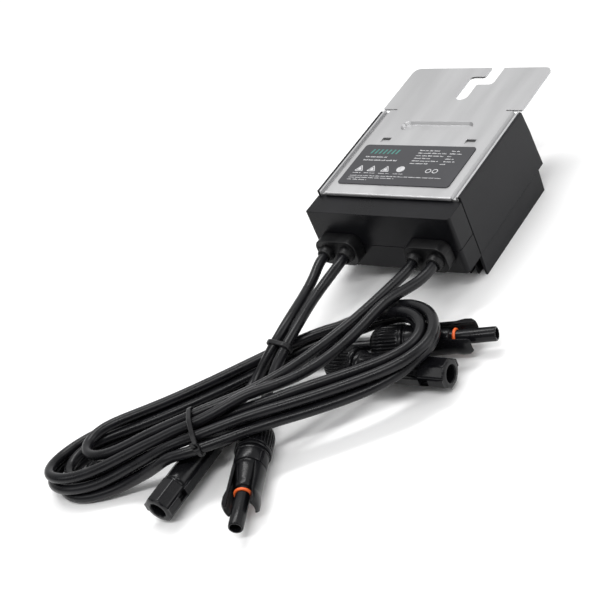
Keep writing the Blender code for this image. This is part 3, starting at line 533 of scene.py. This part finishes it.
# plugs and sockets: local z runs to the tip, local x is up

plugSpots = {  # rear of the gland nut, and the heading from +X looking down
    "male_1": ((-16.0, -199.0), -66.4),
    "male_2": ((18.0, -126.0), 15.6),
    "female_1": ((-41.0, -187.0), -90.0),
    "female_2": ((-2.0, -143.5), 2.6),
}
plugNames = {"male_1": "plugOne", "male_2": "plugTwo", "female_1": "socketOne", "female_2": "socketTwo"}
axisHeight = 10.8
socketLength, plugLength, nutLength, nutRadius = 78.0, 72.0, 20.0, 10.2

nutShape = {
    "profile": [(3.45, 0.0), (6.0, 0.0), (6.6, 0.25), (7.9, 1.3), (8.9, 2.7), (9.6, 4.2), (10.05, 6.0), (10.2, 8.0),
                (10.2, 12.0), (10.2, 16.6), (10.2, 17.3), (10.0, 17.6), (10.0, 18.0), (10.2, 18.3), (10.2, 19.3),
                (9.9, 19.9), (9.5, 20.0), (7.35, 20.0), (7.35, 2.4), (3.45, 2.4)],
    "ribs": 30, "ribDepth": 0.055, "ribFrom": 1.0, "ribTo": 17.2,
}
plugShape = {
    "profile": [(3.0, 6.3), (7.0, 6.3), (7.0, 20.3), (9.3, 20.3), (9.5, 20.6), (9.5, 21.6), (9.2, 22.0), (9.2, 29.4),
                (8.9, 30.0), (8.1, 30.1), (7.7, 30.6), (7.2, 32.0), (6.9, 34.5), (5.5, 41.0), (5.35, 42.2),
                (5.35, 44.6), (5.0, 45.6), (4.15, 46.2), (4.15, 47.7), (3.7, 47.75), (3.7, 49.7), (4.15, 49.75),
                (4.15, 60.0), (4.1, 71.0), (3.9, 71.7), (3.5, 72.0), (3.0, 71.9), (3.0, 60.0)],
    "grooveAngles": (62, 118, 242, 298), "grooveWidth": 3.5, "grooveDepth": 0.05,
}
ringShape = {"middle": 4.42, "thick": 0.84, "along": 48.7, "steps": 14}
armShape = {  # along, inner radius, outer radius, half width in degrees
    "stations": [(30.7, 7.7, 9.0, 47), (31.2, 7.6, 9.3, 48), (34.0, 7.55, 9.3, 44), (40.0, 7.6, 9.25, 39),
                 (46.0, 7.65, 9.25, 37), (49.0, 7.7, 9.3, 36), (50.0, 7.7, 9.6, 35), (53.4, 7.7, 10.2, 34),
                 (57.2, 7.7, 10.1, 32), (58.6, 7.9, 9.3, 29), (59.4, 8.1, 8.7, 26)],
    "acrossSteps": 12,
}
socketShape = {
    "profile": [(3.0, 6.3), (7.0, 6.3), (7.0, 20.3), (8.3, 20.3), (8.6, 20.6), (8.6, 22.6), (8.1, 23.4), (7.45, 23.8),
                (7.35, 58.6), (7.15, 59.4), (6.6, 59.9), (6.6, 60.9), (7.3, 61.2), (7.85, 61.5), (8.05, 62.0),
                (8.05, 76.6), (7.8, 77.4), (7.0, 78.0), (5.2, 78.0), (4.7, 77.4), (4.7, 48.0), (3.0, 46.0)],
    "sides": 8, "facetFrom": 61.0,
    "window": (62.4, 68.2, 2.5), "rail": (2.5, 6.4, 9.1), "railSpan": (24.5, 77.4),
    "keel": (3.0, 6.4, 8.9), "keelSpan": (24.5, 76.5),
}


def axisSpots(node, distances):
    (x, y), heading = plugSpots[node]
    turn = math.radians(heading)
    return [(x + d * math.cos(turn), y + d * math.sin(turn), axisHeight) for d in distances]


def plugPlace(node):
    (x, y), heading = plugSpots[node]
    turn = math.radians(heading)
    along, up = Vector((math.cos(turn), math.sin(turn), 0)), Vector((0, 0, 1))
    place = Matrix((up, along.cross(up), along)).transposed().to_4x4()
    place.translation = Vector((x, y, axisHeight)) * mm
    return place


def ribbed(angle, radius, along):
    if radius < 5.9 or not nutShape["ribFrom"] < along < nutShape["ribTo"]:
        return 1.0
    fade = min(1.0, (along - nutShape["ribFrom"]) / 2.5)
    wave = 0.5 + 0.5 * math.cos(nutShape["ribs"] * angle)
    return 1.0 - nutShape["ribDepth"] * fade * wave ** 3


def grooved(angle, radius, along):
    if radius < 9.0 or not 21.8 < along < 29.9:
        return 1.0
    degrees = math.degrees(angle)
    near = min(abs(degrees - g) for g in plugShape["grooveAngles"]) / plugShape["grooveWidth"]
    return 1.0 - plugShape["grooveDepth"] * max(0.0, 1.0 - near ** 4)


def faceted(angle, radius, along):
    if radius < 7.2 or along < socketShape["facetFrom"]:
        return 1.0
    sector = 2 * math.pi / socketShape["sides"]
    local = (angle + sector / 2) % sector - sector / 2
    return 1.0 / math.cos(max(-0.34, min(0.34, local)))


def plugBox(name, up, side, along, place, round=0.5):
    corners = [(up[0], side[0]), (up[1], side[0]), (up[1], side[1]), (up[0], side[1])]
    return pushed(name, outlineWithRounds(corners, [round] * 4, 4), along[0], along[1], place=place)


def makeNut(node, title, place):
    nut = turned(title + "Nut", nutShape["profile"], nutShape["ribs"] * 8, ribbed, place)
    nut.data.shade_smooth()
    nut.data.set_sharp_from_angle(angle=math.radians(40))
    return dress(nut, "plugBlack", (node + "_nut",), node + "_gland_nut")


def makeArm(node, title, place, label, side):
    steps = armShape["acrossSteps"]
    loops = []
    for along, inner, outer, half in armShape["stations"]:
        angles = [math.radians(half) * (2 * k / steps - 1) for k in range(steps + 1)]
        arc = [(outer * math.sin(a), side * outer * math.cos(a), along) for a in angles]
        arc += [(inner * math.sin(a), side * inner * math.cos(a), along) for a in reversed(angles)]
        loops.append(arc)
    bm = bmesh.new()
    addLoops(bm, loops)
    arm = meshOf(title + "Latch" + label.title(), bm, place)
    soften(arm, 0.25, 2, 40)
    return dress(arm, "plugBlack", (f"{node}_latch_{label}",), f"{node}_latch_{label}_arm")


def makePlug(node):
    title, place = plugNames[node], plugPlace(node)
    body = turned(title + "Body", plugShape["profile"], 96, grooved, place)
    body.data.shade_smooth()
    body.data.set_sharp_from_angle(angle=math.radians(34))
    dress(body, "plugBlack", (node + "_body",))
    middle, thick, along = (ringShape[key] for key in ("middle", "thick", "along"))
    ringProfile = [(middle + thick * math.cos(a), along + thick * math.sin(a))
                   for a in np.linspace(0, 2 * math.pi, ringShape["steps"], False)]
    ring = turned(title + "Ring", ringProfile, 48, place=place)
    ring.data.shade_smooth()
    dress(ring, "ringOrange", (node + "_o_ring",))
    arms = [makeArm(node, title, place, label, side) for label, side in (("left", 1), ("right", -1))]
    return [makeNut(node, title, place), body, ring, *arms]


def makeSocket(node):
    title, place = plugNames[node], plugPlace(node)
    body = turned(title + "Body", socketShape["profile"], 96, faceted, place)
    low, high, half = socketShape["window"]
    railHalf, railIn, railOut = socketShape["rail"]
    keelHalf, keelIn, keelOut = socketShape["keel"]
    rails = [plugBox(f"{title}Rail{s}", (-railHalf, railHalf), sorted((s * railIn, s * railOut)),
                     socketShape["railSpan"], place) for s in (-1, 1)]
    keel = plugBox(title + "Keel", (-keelOut, -keelIn), (-keelHalf, keelHalf), socketShape["keelSpan"], place)
    shapeWith(body, [*rails, keel], "UNION")
    windows = [plugBox(f"{title}Window{s}", (-half, half), sorted((s * 5.9, s * 12.0)), (low, high), place)
               for s in (-1, 1)]
    shapeWith(body, windows)
    soften(body, 0.22, 2, 38)
    dress(body, "plugBlack", (node + "_body",))
    return [makeNut(node, title, place), body]


plugPieces = {node: makePlug(node) if node.startswith("male") else makeSocket(node) for node in plugSpots}
print("plugs made")


# the four leads: their routes in the part's frame, in millimetres, settled so that the jackets push each other apart

leadRoutes = {
    "leadIn1": [
        (-37.3, -90, 28.5), (-36, -105, 27.2), (-34.5, -120, 26.3), (-33.3, -135, 25.3), (-33, -148, 24),
        (-36, -158, 21),
    ],
    "leadIn2": [
        (-25.5, -90, 28.5), (-27, -105, 27.3), (-25.6, -122, 26.4), (-24, -138, 25.4), (-23.3, -152, 24),
        (-24, -165, 20),
    ],
    "leadOut1": [
        (21, -98, 30), (16, -117, 30), (12, -133, 30.5), (6, -148, 31), (-3, -169, 31), (-13, -185, 31.5),
        (-20, -195, 31.5), (-28, -204, 32), (-37, -213, 31.5), (-42, -217, 30.5), (-54, -223, 28),
        (-66, -229, 25), (-86, -237, 20.5), (-100, -240, 18), (-111, -241, 16.5), (-116, -238, 15.5),
        (-115, -234, 15), (-110, -227, 14), (-104, -219, 13.5), (-91, -204, 13.5), (-72, -183, 14),
        (-53, -163, 14.5), (-30, -141, 14), (-17, -128, 13.5), (-3, -121, 16), (12, -117, 20),
        (29, -117, 25), (42, -117, 28), (52, -119, 29), (57, -124, 29), (59, -131, 29), (57, -139, 29),
        (51, -147, 29), (42, -157, 29.5), (33, -166, 30), (21, -178, 30.5), (12, -185, 30.5),
        (-2, -195, 30), (-17, -204, 29), (-32, -215, 27), (-48, -225, 24), (-66, -234, 19),
        (-84, -243, 13.5), (-101, -251, 10.5), (-113, -255, 9.5), (-120, -254, 9.5), (-121, -236, 9),
        (-109, -223, 9), (-81, -194, 9), (-53, -165, 9), (-32, -143, 9), (-17, -127, 9), (6, -119, 11),
        (24, -116, 14), (40, -117, 18), (51, -121, 20), (56, -129, 21), (54, -139, 21.5), (56, -141, 22),
        (49, -150, 22.5), (41, -161, 23), (33, -171, 23.5), (21, -182, 23.5), (6, -191, 23.5),
        (-8, -199, 23.5), (-18, -206, 24), (-29, -215, 24), (-41, -224, 23), (-57, -231, 18),
        (-73, -239, 12.5), (-90, -246, 6.5), (-103, -253, 3.5), (-109, -255, 3), (-113, -236, 3),
        (-104, -227, 3), (-77, -198, 3), (-52, -173, 3), (-36, -157, 4.5),
    ],
    "leadOut2": [
        (33, -100, 30), (26, -125, 31), (22, -138, 31), (17, -152, 31), (11, -167, 31), (-2, -184, 31),
        (-10, -193, 31), (-18, -201, 31), (-34, -219, 31), (-46, -225, 28), (-64, -234, 23),
        (-82, -243, 19), (-95, -251, 17), (-107, -258, 16), (-118, -262, 15.5), (-126, -262, 15),
        (-128, -257, 14.5), (-125, -250, 13), (-128, -232, 9), (-114, -217, 9), (-87, -188, 9),
        (-59, -159, 9), (-35, -134, 9), (-21, -120, 9), (0, -112, 13), (18, -108, 19), (34, -113, 26),
        (43, -114, 28), (52, -116, 29), (61, -121, 29), (66, -127, 28.5), (68, -135, 28), (64, -143, 27.5),
        (57, -153, 27.5), (47, -163, 27.5), (36, -172, 28), (28, -179, 28), (19, -186, 28), (10, -193, 28),
        (0, -200, 28), (-9, -207, 28), (-18, -214, 28), (-28, -224, 27.5), (-43, -231, 24), (-63, -239, 18),
        (-83, -246, 12), (-97, -255, 10), (-109, -262, 9.5), (-119, -265, 9.5), (-124, -263, 9),
        (-128, -257, 8), (-130, -233, 3), (-114, -217, 3), (-87, -188, 3), (-59, -159, 3), (-35, -134, 3),
        (-21, -120, 3), (-6, -112, 7), (12, -110, 12), (22, -117, 16), (35, -112, 18), (47, -113, 20),
        (57, -118, 21), (63, -124, 21.5), (65, -132, 21.5), (60, -144, 22), (54, -154, 22.5),
        (47, -164, 22.5), (36, -176, 23.5), (28, -183, 24), (19, -189, 24.5), (10, -196, 24.5),
        (0, -202, 24.5), (-8, -210, 24.5), (-19, -219, 24.5), (-30, -229, 24), (-46, -236, 19),
        (-64, -241, 13.5), (-81, -247, 8), (-96, -255, 4), (-107, -261, 3.5), (-118, -262, 3),
        (-125, -260, 3), (-123, -237, 3), (-109, -222, 3), (-81, -193, 3), (-54, -164, 3), (-30, -139, 3),
        (-18, -127, 3),
    ],
}

leadEnds = {  # exit across the box, plug at the far end, real length in metres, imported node, how it lies
    "leadIn1": (-38.0, "female_1", 0.127, "cable_in_1", "loose"),
    "leadIn2": (-24.0, "male_1", 0.138, "cable_in_2", "loose"),
    "leadOut1": (24.0, "female_2", 1.350, "cable_out_1", "coiled"),
    "leadOut2": (38.0, "male_2", 1.560, "cable_out_2", "coiled"),
}
leadShape = {
    "diameter": 6.2, "startY": -72.0, "exitY": -78.0, "exitZ": 30.0, "straightOut": 6.0,
    "intoPlug": (-20.0, -9.0, 6.0),  # along the plug from the rear of its nut
    "fineStep": 2.5, "roundness": 5,
}
settling = {
    "step": 5.0, "gap": 1.0, "rounds": 400, "held": 4, "selfGap": 3.2, "near": 30.0, "straighten": 0.3,
    "goBack": 0.006, "pegGap": 0.5, "floorGap": 0.15,
    "frontLong": 24.0, "bodyRadius": 8.4, "railedRadius": 10.0, "frontRadius": {"male": 5.0, "female": 8.6},
}


def fullRoute(lead):
    x, plug = leadEnds[lead][:2]
    exitY = leadShape["exitY"]
    start = [(x, y, leadShape["exitZ"]) for y in (leadShape["startY"], exitY, exitY - leadShape["straightOut"])]
    return np.array(start + leadRoutes[lead] + axisSpots(plug, leadShape["intoPlug"]), dtype=float)


def smoothLine(points, spacing):
    knots = np.concatenate([[0], np.cumsum(np.sqrt(np.linalg.norm(np.diff(points, axis=0), axis=1)))])
    spans = np.diff(knots)
    slopes = np.diff(points, axis=0) / spans[:, None]
    tangents = np.empty_like(points)
    tangents[0], tangents[-1] = slopes[0], slopes[-1]
    before, after = spans[:-1, None], spans[1:, None]
    tangents[1:-1] = (slopes[:-1] * after + slopes[1:] * before) / (before + after)
    curve = []
    for i, span in enumerate(spans):
        for s in np.linspace(0, 1, 24, endpoint=False):
            curve.append((2 * s**3 - 3 * s**2 + 1) * points[i] + (s**3 - 2 * s**2 + s) * span * tangents[i]
                         + (3 * s**2 - 2 * s**3) * points[i + 1] + (s**3 - s**2) * span * tangents[i + 1])
    curve = np.array(curve + [points[-1]])
    walked = np.concatenate([[0], np.cumsum(np.linalg.norm(np.diff(curve, axis=0), axis=1))])
    stops = np.linspace(0, walked[-1], max(int(round(walked[-1] / spacing)), 2) + 1)
    return np.column_stack([np.interp(stops, walked, curve[:, k]) for k in range(3)])


def plugPegs():
    # each plug as three straight rods that a lead can't enter: nut, body and front
    pegs = []
    for node in plugSpots:
        kind = node.split("_")[0]
        length = socketLength if kind == "female" else plugLength
        a, b, c, d = np.array(axisSpots(node, (0.0, nutLength, length - settling["frontLong"], length)))
        bodyRadius = settling["railedRadius" if node == "female_1" else "bodyRadius"]
        pegs += [(a, b, nutRadius), (b, c, bodyRadius), (c, d, settling["frontRadius"][kind])]
    return pegs


def settle(routes):
    step, rounds, held, diameter = settling["step"], settling["rounds"], settling["held"], leadShape["diameter"]
    lines = [smoothLine(route, step) for route in routes]
    rope = np.concatenate([[i] * len(line) for i, line in enumerate(lines)])
    place = np.concatenate([np.arange(len(line)) for line in lines])
    count = np.concatenate([[len(line)] * len(line) for line in lines])
    start = np.concatenate(lines)
    now = start.copy()
    loose = ((place > held) & (place < count - held - 1)).astype(float)[:, None]
    first, second = np.triu_indices(len(now), 1)
    between = np.abs(place[first] - place[second]) * step
    apart = (rope[first] != rope[second]) | (between > settling["selfGap"] * diameter)
    near = np.linalg.norm(now[first] - now[second], axis=1) < settling["near"]
    pick = apart & near & ((loose[first, 0] + loose[second, 0]) > 0)
    first, second = first[pick], second[pick]
    inner = np.flatnonzero((place > 0) & (place < count - 1))
    deep = np.flatnonzero((place > 1) & (place < count - 2))
    links = np.flatnonzero(place < count - 1)
    rest = np.linalg.norm(start[links + 1] - start[links], axis=1)
    pegs = plugPegs()
    wanted = diameter + settling["gap"]
    for turn in range(rounds):
        for _ in range(8 if turn < rounds * 0.85 else 2):  # straighten
            bend = np.zeros_like(now)
            bend[inner] = (now[inner - 1] + now[inner + 1]) / 2 - now[inner]
            pull = np.zeros_like(now)
            pull[deep] = (bend[deep - 1] + bend[deep + 1]) / 2 - bend[deep]
            now -= settling["straighten"] * pull * loose
        now += settling["goBack"] * (start - now) * loose
        for half in (0, 1) * 3:  # keep the length
            low = links[half::2]
            span = now[low + 1] - now[low]
            size = np.linalg.norm(span, axis=1)
            fix = span * ((size - rest[half::2]) / size / 2)[:, None]
            now[low] += fix * loose[low]
            now[low + 1] -= fix * loose[low + 1]
        for _ in range(3):  # push apart
            gap = now[first] - now[second]
            size = np.linalg.norm(gap, axis=1)
            hit = size < wanted
            push = gap[hit] / np.maximum(size[hit], 1e-6)[:, None] * ((wanted - size[hit]) / 2)[:, None]
            moved, shares = np.zeros_like(now), np.zeros(len(now))
            np.add.at(moved, first[hit], push)
            np.add.at(moved, second[hit], -push)
            np.add.at(shares, first[hit], 1)
            np.add.at(shares, second[hit], 1)
            now += moved / np.sqrt(np.maximum(shares, 1))[:, None] * loose
            for low, high, radius in pegs:
                axis = high - low
                along = np.clip((now - low) @ axis / (axis @ axis), 0, 1)
                out = now - (low + along[:, None] * axis)
                size = np.linalg.norm(out, axis=1)
                keep = radius + diameter / 2 + settling["pegGap"]
                inside = (size < keep) & (loose[:, 0] > 0)
                now[inside] += out[inside] / size[inside][:, None] * (keep - size[inside])[:, None]
            now[:, 2] = np.maximum(now[:, 2], diameter / 2 + settling["floorGap"])
    return [now[rope == i] for i in range(len(lines))]


def makeLead(name, line):
    x, plug, length, node, lay = leadEnds[name]
    curve = bpy.data.curves.new(name, "CURVE")
    curve.dimensions = "3D"
    curve.bevel_depth = leadShape["diameter"] / 2 * mm
    curve.bevel_resolution = leadShape["roundness"]
    curve.use_fill_caps = True
    points = smoothLine(line, leadShape["fineStep"])
    spline = curve.splines.new("POLY")
    spline.points.add(len(points) - 1)
    for spot, point in zip(spline.points, points):
        spot.co = (*(point * mm), 1.0)
    measured = np.linalg.norm(np.diff(points, axis=0), axis=1).sum() * mm
    lead = bpy.data.objects.new(name, curve)
    bpy.context.scene.collection.objects.link(lead)
    dress(lead, "jacketBlack", (node,))
    print(name, "measures", round(measured, 4), "m")


leadLines = dict(zip(leadRoutes, settle([fullRoute(lead) for lead in leadRoutes])))
for name, line in leadLines.items():
    makeLead(name, line)
print("leads laid")


# cable ties drawn round the leads that cross a plane, each with its lock and a cut tail

tieShape = {
    "width": 2.6, "thick": 1.1, "clear": 0.45, "steps": 96, "headLong": 4.6, "headWide": 4.0, "headHigh": 2.5,
    "tail": [  # along the strap, outward, and the strap's thickness there
        (-0.2, 0.8, 0.8, 0), (0.1, 2.4, 0.7, -0.4), (0.9, 3.6, 0.5, -0.7), (2.3, 4.3, 0.2, -0.8),
        (4.4, 4.6, 0.1, -0.8),
    ],
}
tieSpots = {  # leads, spot, plane normal, how far it reaches, where its lock sits in degrees
    "tieIn": (("leadIn1", "leadIn2"), (-29.2, -147.5, 23.2), (-0.11, -0.94, -0.31), 12.0, 215, "cable_tie_1"),
    "tieOut": (("leadOut1", "leadOut2"), (-39.0, -217.6, 28.0), (-0.80, -0.58, -0.15), 17.0, 5, "cable_tie_2"),
}


def crossingsOf(lines, spot, normal, reach):
    found = []
    for line in lines:
        side = (line - spot) @ normal
        for i in np.flatnonzero(side[:-1] * side[1:] < 0):
            point = line[i] + (line[i + 1] - line[i]) * side[i] / (side[i] - side[i + 1])
            if np.linalg.norm(point - spot) < reach:
                found.append(point)
    return found


def bandReach(circles, angle, radius):
    ray = np.array([math.cos(angle), math.sin(angle)])
    best = 1e9
    for turn in np.linspace(0, 2 * math.pi, 120, False):
        face = np.array([math.cos(turn), math.sin(turn)])
        facing = ray @ face
        if facing > 0.05:
            best = min(best, (max(face @ c for c in circles) + radius) / facing)
    return ray * best


def makeTie(name, leads, spot, normal, reach, lockAngle, node):
    normal = np.array(normal, float) / np.linalg.norm(normal)
    across = np.cross([0, 0, 1], normal)
    across /= np.linalg.norm(across)
    up = np.cross(normal, across)
    found = crossingsOf([leadLines[lead] for lead in leads], np.array(spot, float), normal, reach)
    middle = sum(found) / len(found)
    flat = [np.array([(p - middle) @ across, (p - middle) @ up]) for p in found]
    inner = leadShape["diameter"] / 2 + tieShape["clear"]
    outer, half = inner + tieShape["thick"], tieShape["width"] / 2

    def bandPoint(angle, radius, along):
        u, v = bandReach(flat, angle, radius)
        return middle + across * u + up * v + normal * along

    section = [(inner, -half), (outer - 0.3, -half), (outer, -half + 0.4), (outer, half - 0.4), (outer - 0.3, half),
               (inner, half)]
    angles = np.linspace(0, 2 * math.pi, tieShape["steps"], False)
    bm = bmesh.new()
    addLoops(bm, [[bandPoint(a, radius, along) for radius, along in section] for a in angles], closed=True)
    strap = meshOf(name, bm)
    strap.data.shade_smooth()
    strap.data.set_sharp_from_angle(angle=math.radians(30))
    dress(strap, "tieNylon", (node,))

    lock = math.radians(lockAngle)
    outward = across * math.cos(lock) + up * math.sin(lock)
    tangent = np.cross(normal, outward)
    place = Matrix((Vector(tangent), Vector(np.cross(outward, tangent)), Vector(outward))).transposed().to_4x4()
    place.translation = Vector(bandPoint(lock, outer - 0.4, 0.0)) * mm
    long, wide, high = tieShape["headLong"] / 2, tieShape["headWide"] / 2, tieShape["headHigh"]
    head = pushed(name + "Lock", outlineWithRounds([(-long, -wide), (long, -wide), (long, wide), (-long, wide)],
                                                   [0.9] * 4, 5), 0.0, high, place=place)
    shapeWith(head, [boxOf(name + "Slot", (-0.9, -half - 0.1, 0.5), (0.9, half + 0.1, 4.0), place)])
    bm = bmesh.new()  # the tail leaves through the lock and is cut off short
    y = half - 0.3
    addLoops(bm, [[(x, y, z), (x + dx, y, z + dz), (x + dx, -y, z + dz), (x, -y, z)]
                  for x, z, dx, dz in tieShape["tail"]])
    tail = meshOf(name + "Tail", bm, place)
    for piece, width in ((head, 0.25), (tail, 0.12)):
        soften(piece, width)
        dress(piece, "tieNylon")


for name, (leads, spot, normal, reach, lockAngle, node) in tieSpots.items():
    makeTie(name, leads, spot, normal, reach, lockAngle, node)
print("ties drawn")


# screws in the heat sink, with a six sided socket in the head

screwShape = {
    "spots": [(x, y) for x in (-40.4, 40.4) for y in (-38.0, 20.0)],
    "profile": [(0.0, 10.6), (1.3, 10.6), (1.3, 9.45), (1.45, 9.3), (2.6, 9.3), (2.95, 9.55), (3.0, 9.9),
                (3.0, 11.45), (1.75, 11.5), (1.75, 24.5), (0.0, 24.5)],
    "socketRadius": 1.5, "headEnd": 11.0,
}


def sixSided(angle, radius, along):
    if radius > screwShape["socketRadius"] or along > screwShape["headEnd"]:
        return 1.0
    local = (angle + math.pi / 6) % (math.pi / 3) - math.pi / 6
    return 1.0 / math.cos(local)


for k, (x, y) in enumerate(screwShape["spots"]):
    place = Matrix.Translation(Vector((x, y, 0)) * mm)
    screw = turned(f"sinkScrew{k + 1}", screwShape["profile"], 48, sixSided, place)
    screw.data.shade_smooth()
    screw.data.set_sharp_from_angle(angle=math.radians(30))
    dress(screw, "screwZinc", (f"heat_sink_screw_{k + 1}",))
print("screws made")


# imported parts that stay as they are

innerFinishes = {
    "housing_gasket": "glandRubber", "thermal_pad": "padGrey", "circuit_board": "boardGreen",
    "inductor_core_1": "coreGrey", "inductor_core_2": "coreGrey", "inductor_winding_1": "coilCopper",
    "inductor_winding_2": "coilCopper", "input_capacitor": "screwZinc", "output_capacitor": "screwZinc",
    "power_transistor_1": "coreGrey", "power_transistor_2": "coreGrey", "controller_chip": "coreGrey",
    "cable_terminal_block": "contactTin",
}
innerFinishes.update({f"{plug}_seal": "glandRubber" for plug in plugSpots})
innerFinishes.update({f"{plug}_contact": "contactTin" for plug in plugSpots})
for node, finish in innerFinishes.items():
    nodes[node].data.materials.clear()
    nodes[node].data.materials.append(finishes[finish])
print("inner parts finished:", len(innerFinishes))


# floor and studio light

studio = {
    "floorColour": (0.95, 0.95, 0.95), "floorHalf": 6.0, "sky": (1.0, 1.0, 1.0), "skyFront": 0.22, "skyRear": 0.93,
    "lights": {  # place, aimed at, width, height, watts
        "topSoftbox": ((-0.35, 0.25, 1.20), (0.0, -0.10, 0.0), 1.0, 0.2, 8.5),
        "sideSoftbox": ((1.10, 0.25, 0.60), (0.0, -0.05, 0.02), 0.7, 0.7, 3.0),
        "frontSoftbox": ((-0.60, -1.05, 0.90), (0.0, -0.12, 0.0), 0.4, 0.4, 1.6),
        "leadStrip": ((0.23, -0.67, 1.03), (-0.05, -0.19, 0.02), 0.9, 0.15, 6.0),
    },
}

bm = bmesh.new()
half = studio["floorHalf"]
bm.faces.new([bm.verts.new((x, y, 0.0)) for x, y in ((-half, -half), (half, -half), (half, half), (-half, half))])
floorMesh = bpy.data.meshes.new("floor")
bm.to_mesh(floorMesh)
bm.free()
floor = bpy.data.objects.new("floor", floorMesh)
bpy.context.scene.collection.objects.link(floor)
floorPaint = bpy.data.materials.new("floorPaint")
floorPaint.use_nodes = True
floorShader = floorPaint.node_tree.nodes["Principled BSDF"]
floorShader.inputs["Base Color"].default_value = (*studio["floorColour"], 1.0)
floorShader.inputs["Roughness"].default_value = 0.9
floorShader.inputs["Specular IOR Level"].default_value = 0.2
floorMesh.materials.append(floorPaint)

for name, (spot, target, width, height, watts) in studio["lights"].items():
    light = bpy.data.lights.new(name, "AREA")
    light.shape = "RECTANGLE"
    light.size, light.size_y, light.energy = width, height, watts
    lamp = bpy.data.objects.new(name, light)
    lamp.location = spot
    lamp.rotation_mode = "QUATERNION"
    lamp.rotation_quaternion = (Vector(target) - Vector(spot)).to_track_quat("-Z", "Y")
    bpy.context.scene.collection.objects.link(lamp)

sky = bpy.data.worlds.new("sky")
sky.use_nodes = True
backdrop = sky.node_tree.nodes["Background"]
backdrop.inputs["Color"].default_value = (*studio["sky"], 1.0)
heading = sky.node_tree.nodes.new("ShaderNodeTexCoord")  # the sky is dimmer in front than behind
parts = sky.node_tree.nodes.new("ShaderNodeSeparateXYZ")
dimming = sky.node_tree.nodes.new("ShaderNodeMapRange")
dimming.inputs["From Min"].default_value = -0.8
dimming.inputs["From Max"].default_value = 0.6
dimming.inputs["To Min"].default_value = studio["skyFront"]
dimming.inputs["To Max"].default_value = studio["skyRear"]
sky.node_tree.links.new(heading.outputs["Generated"], parts.inputs["Vector"])
sky.node_tree.links.new(parts.outputs["Y"], dimming.inputs["Value"])
sky.node_tree.links.new(dimming.outputs["Result"], backdrop.inputs["Strength"])
bpy.context.scene.world = sky
bpy.context.scene.view_settings.view_transform = "Standard"
print("studio set")
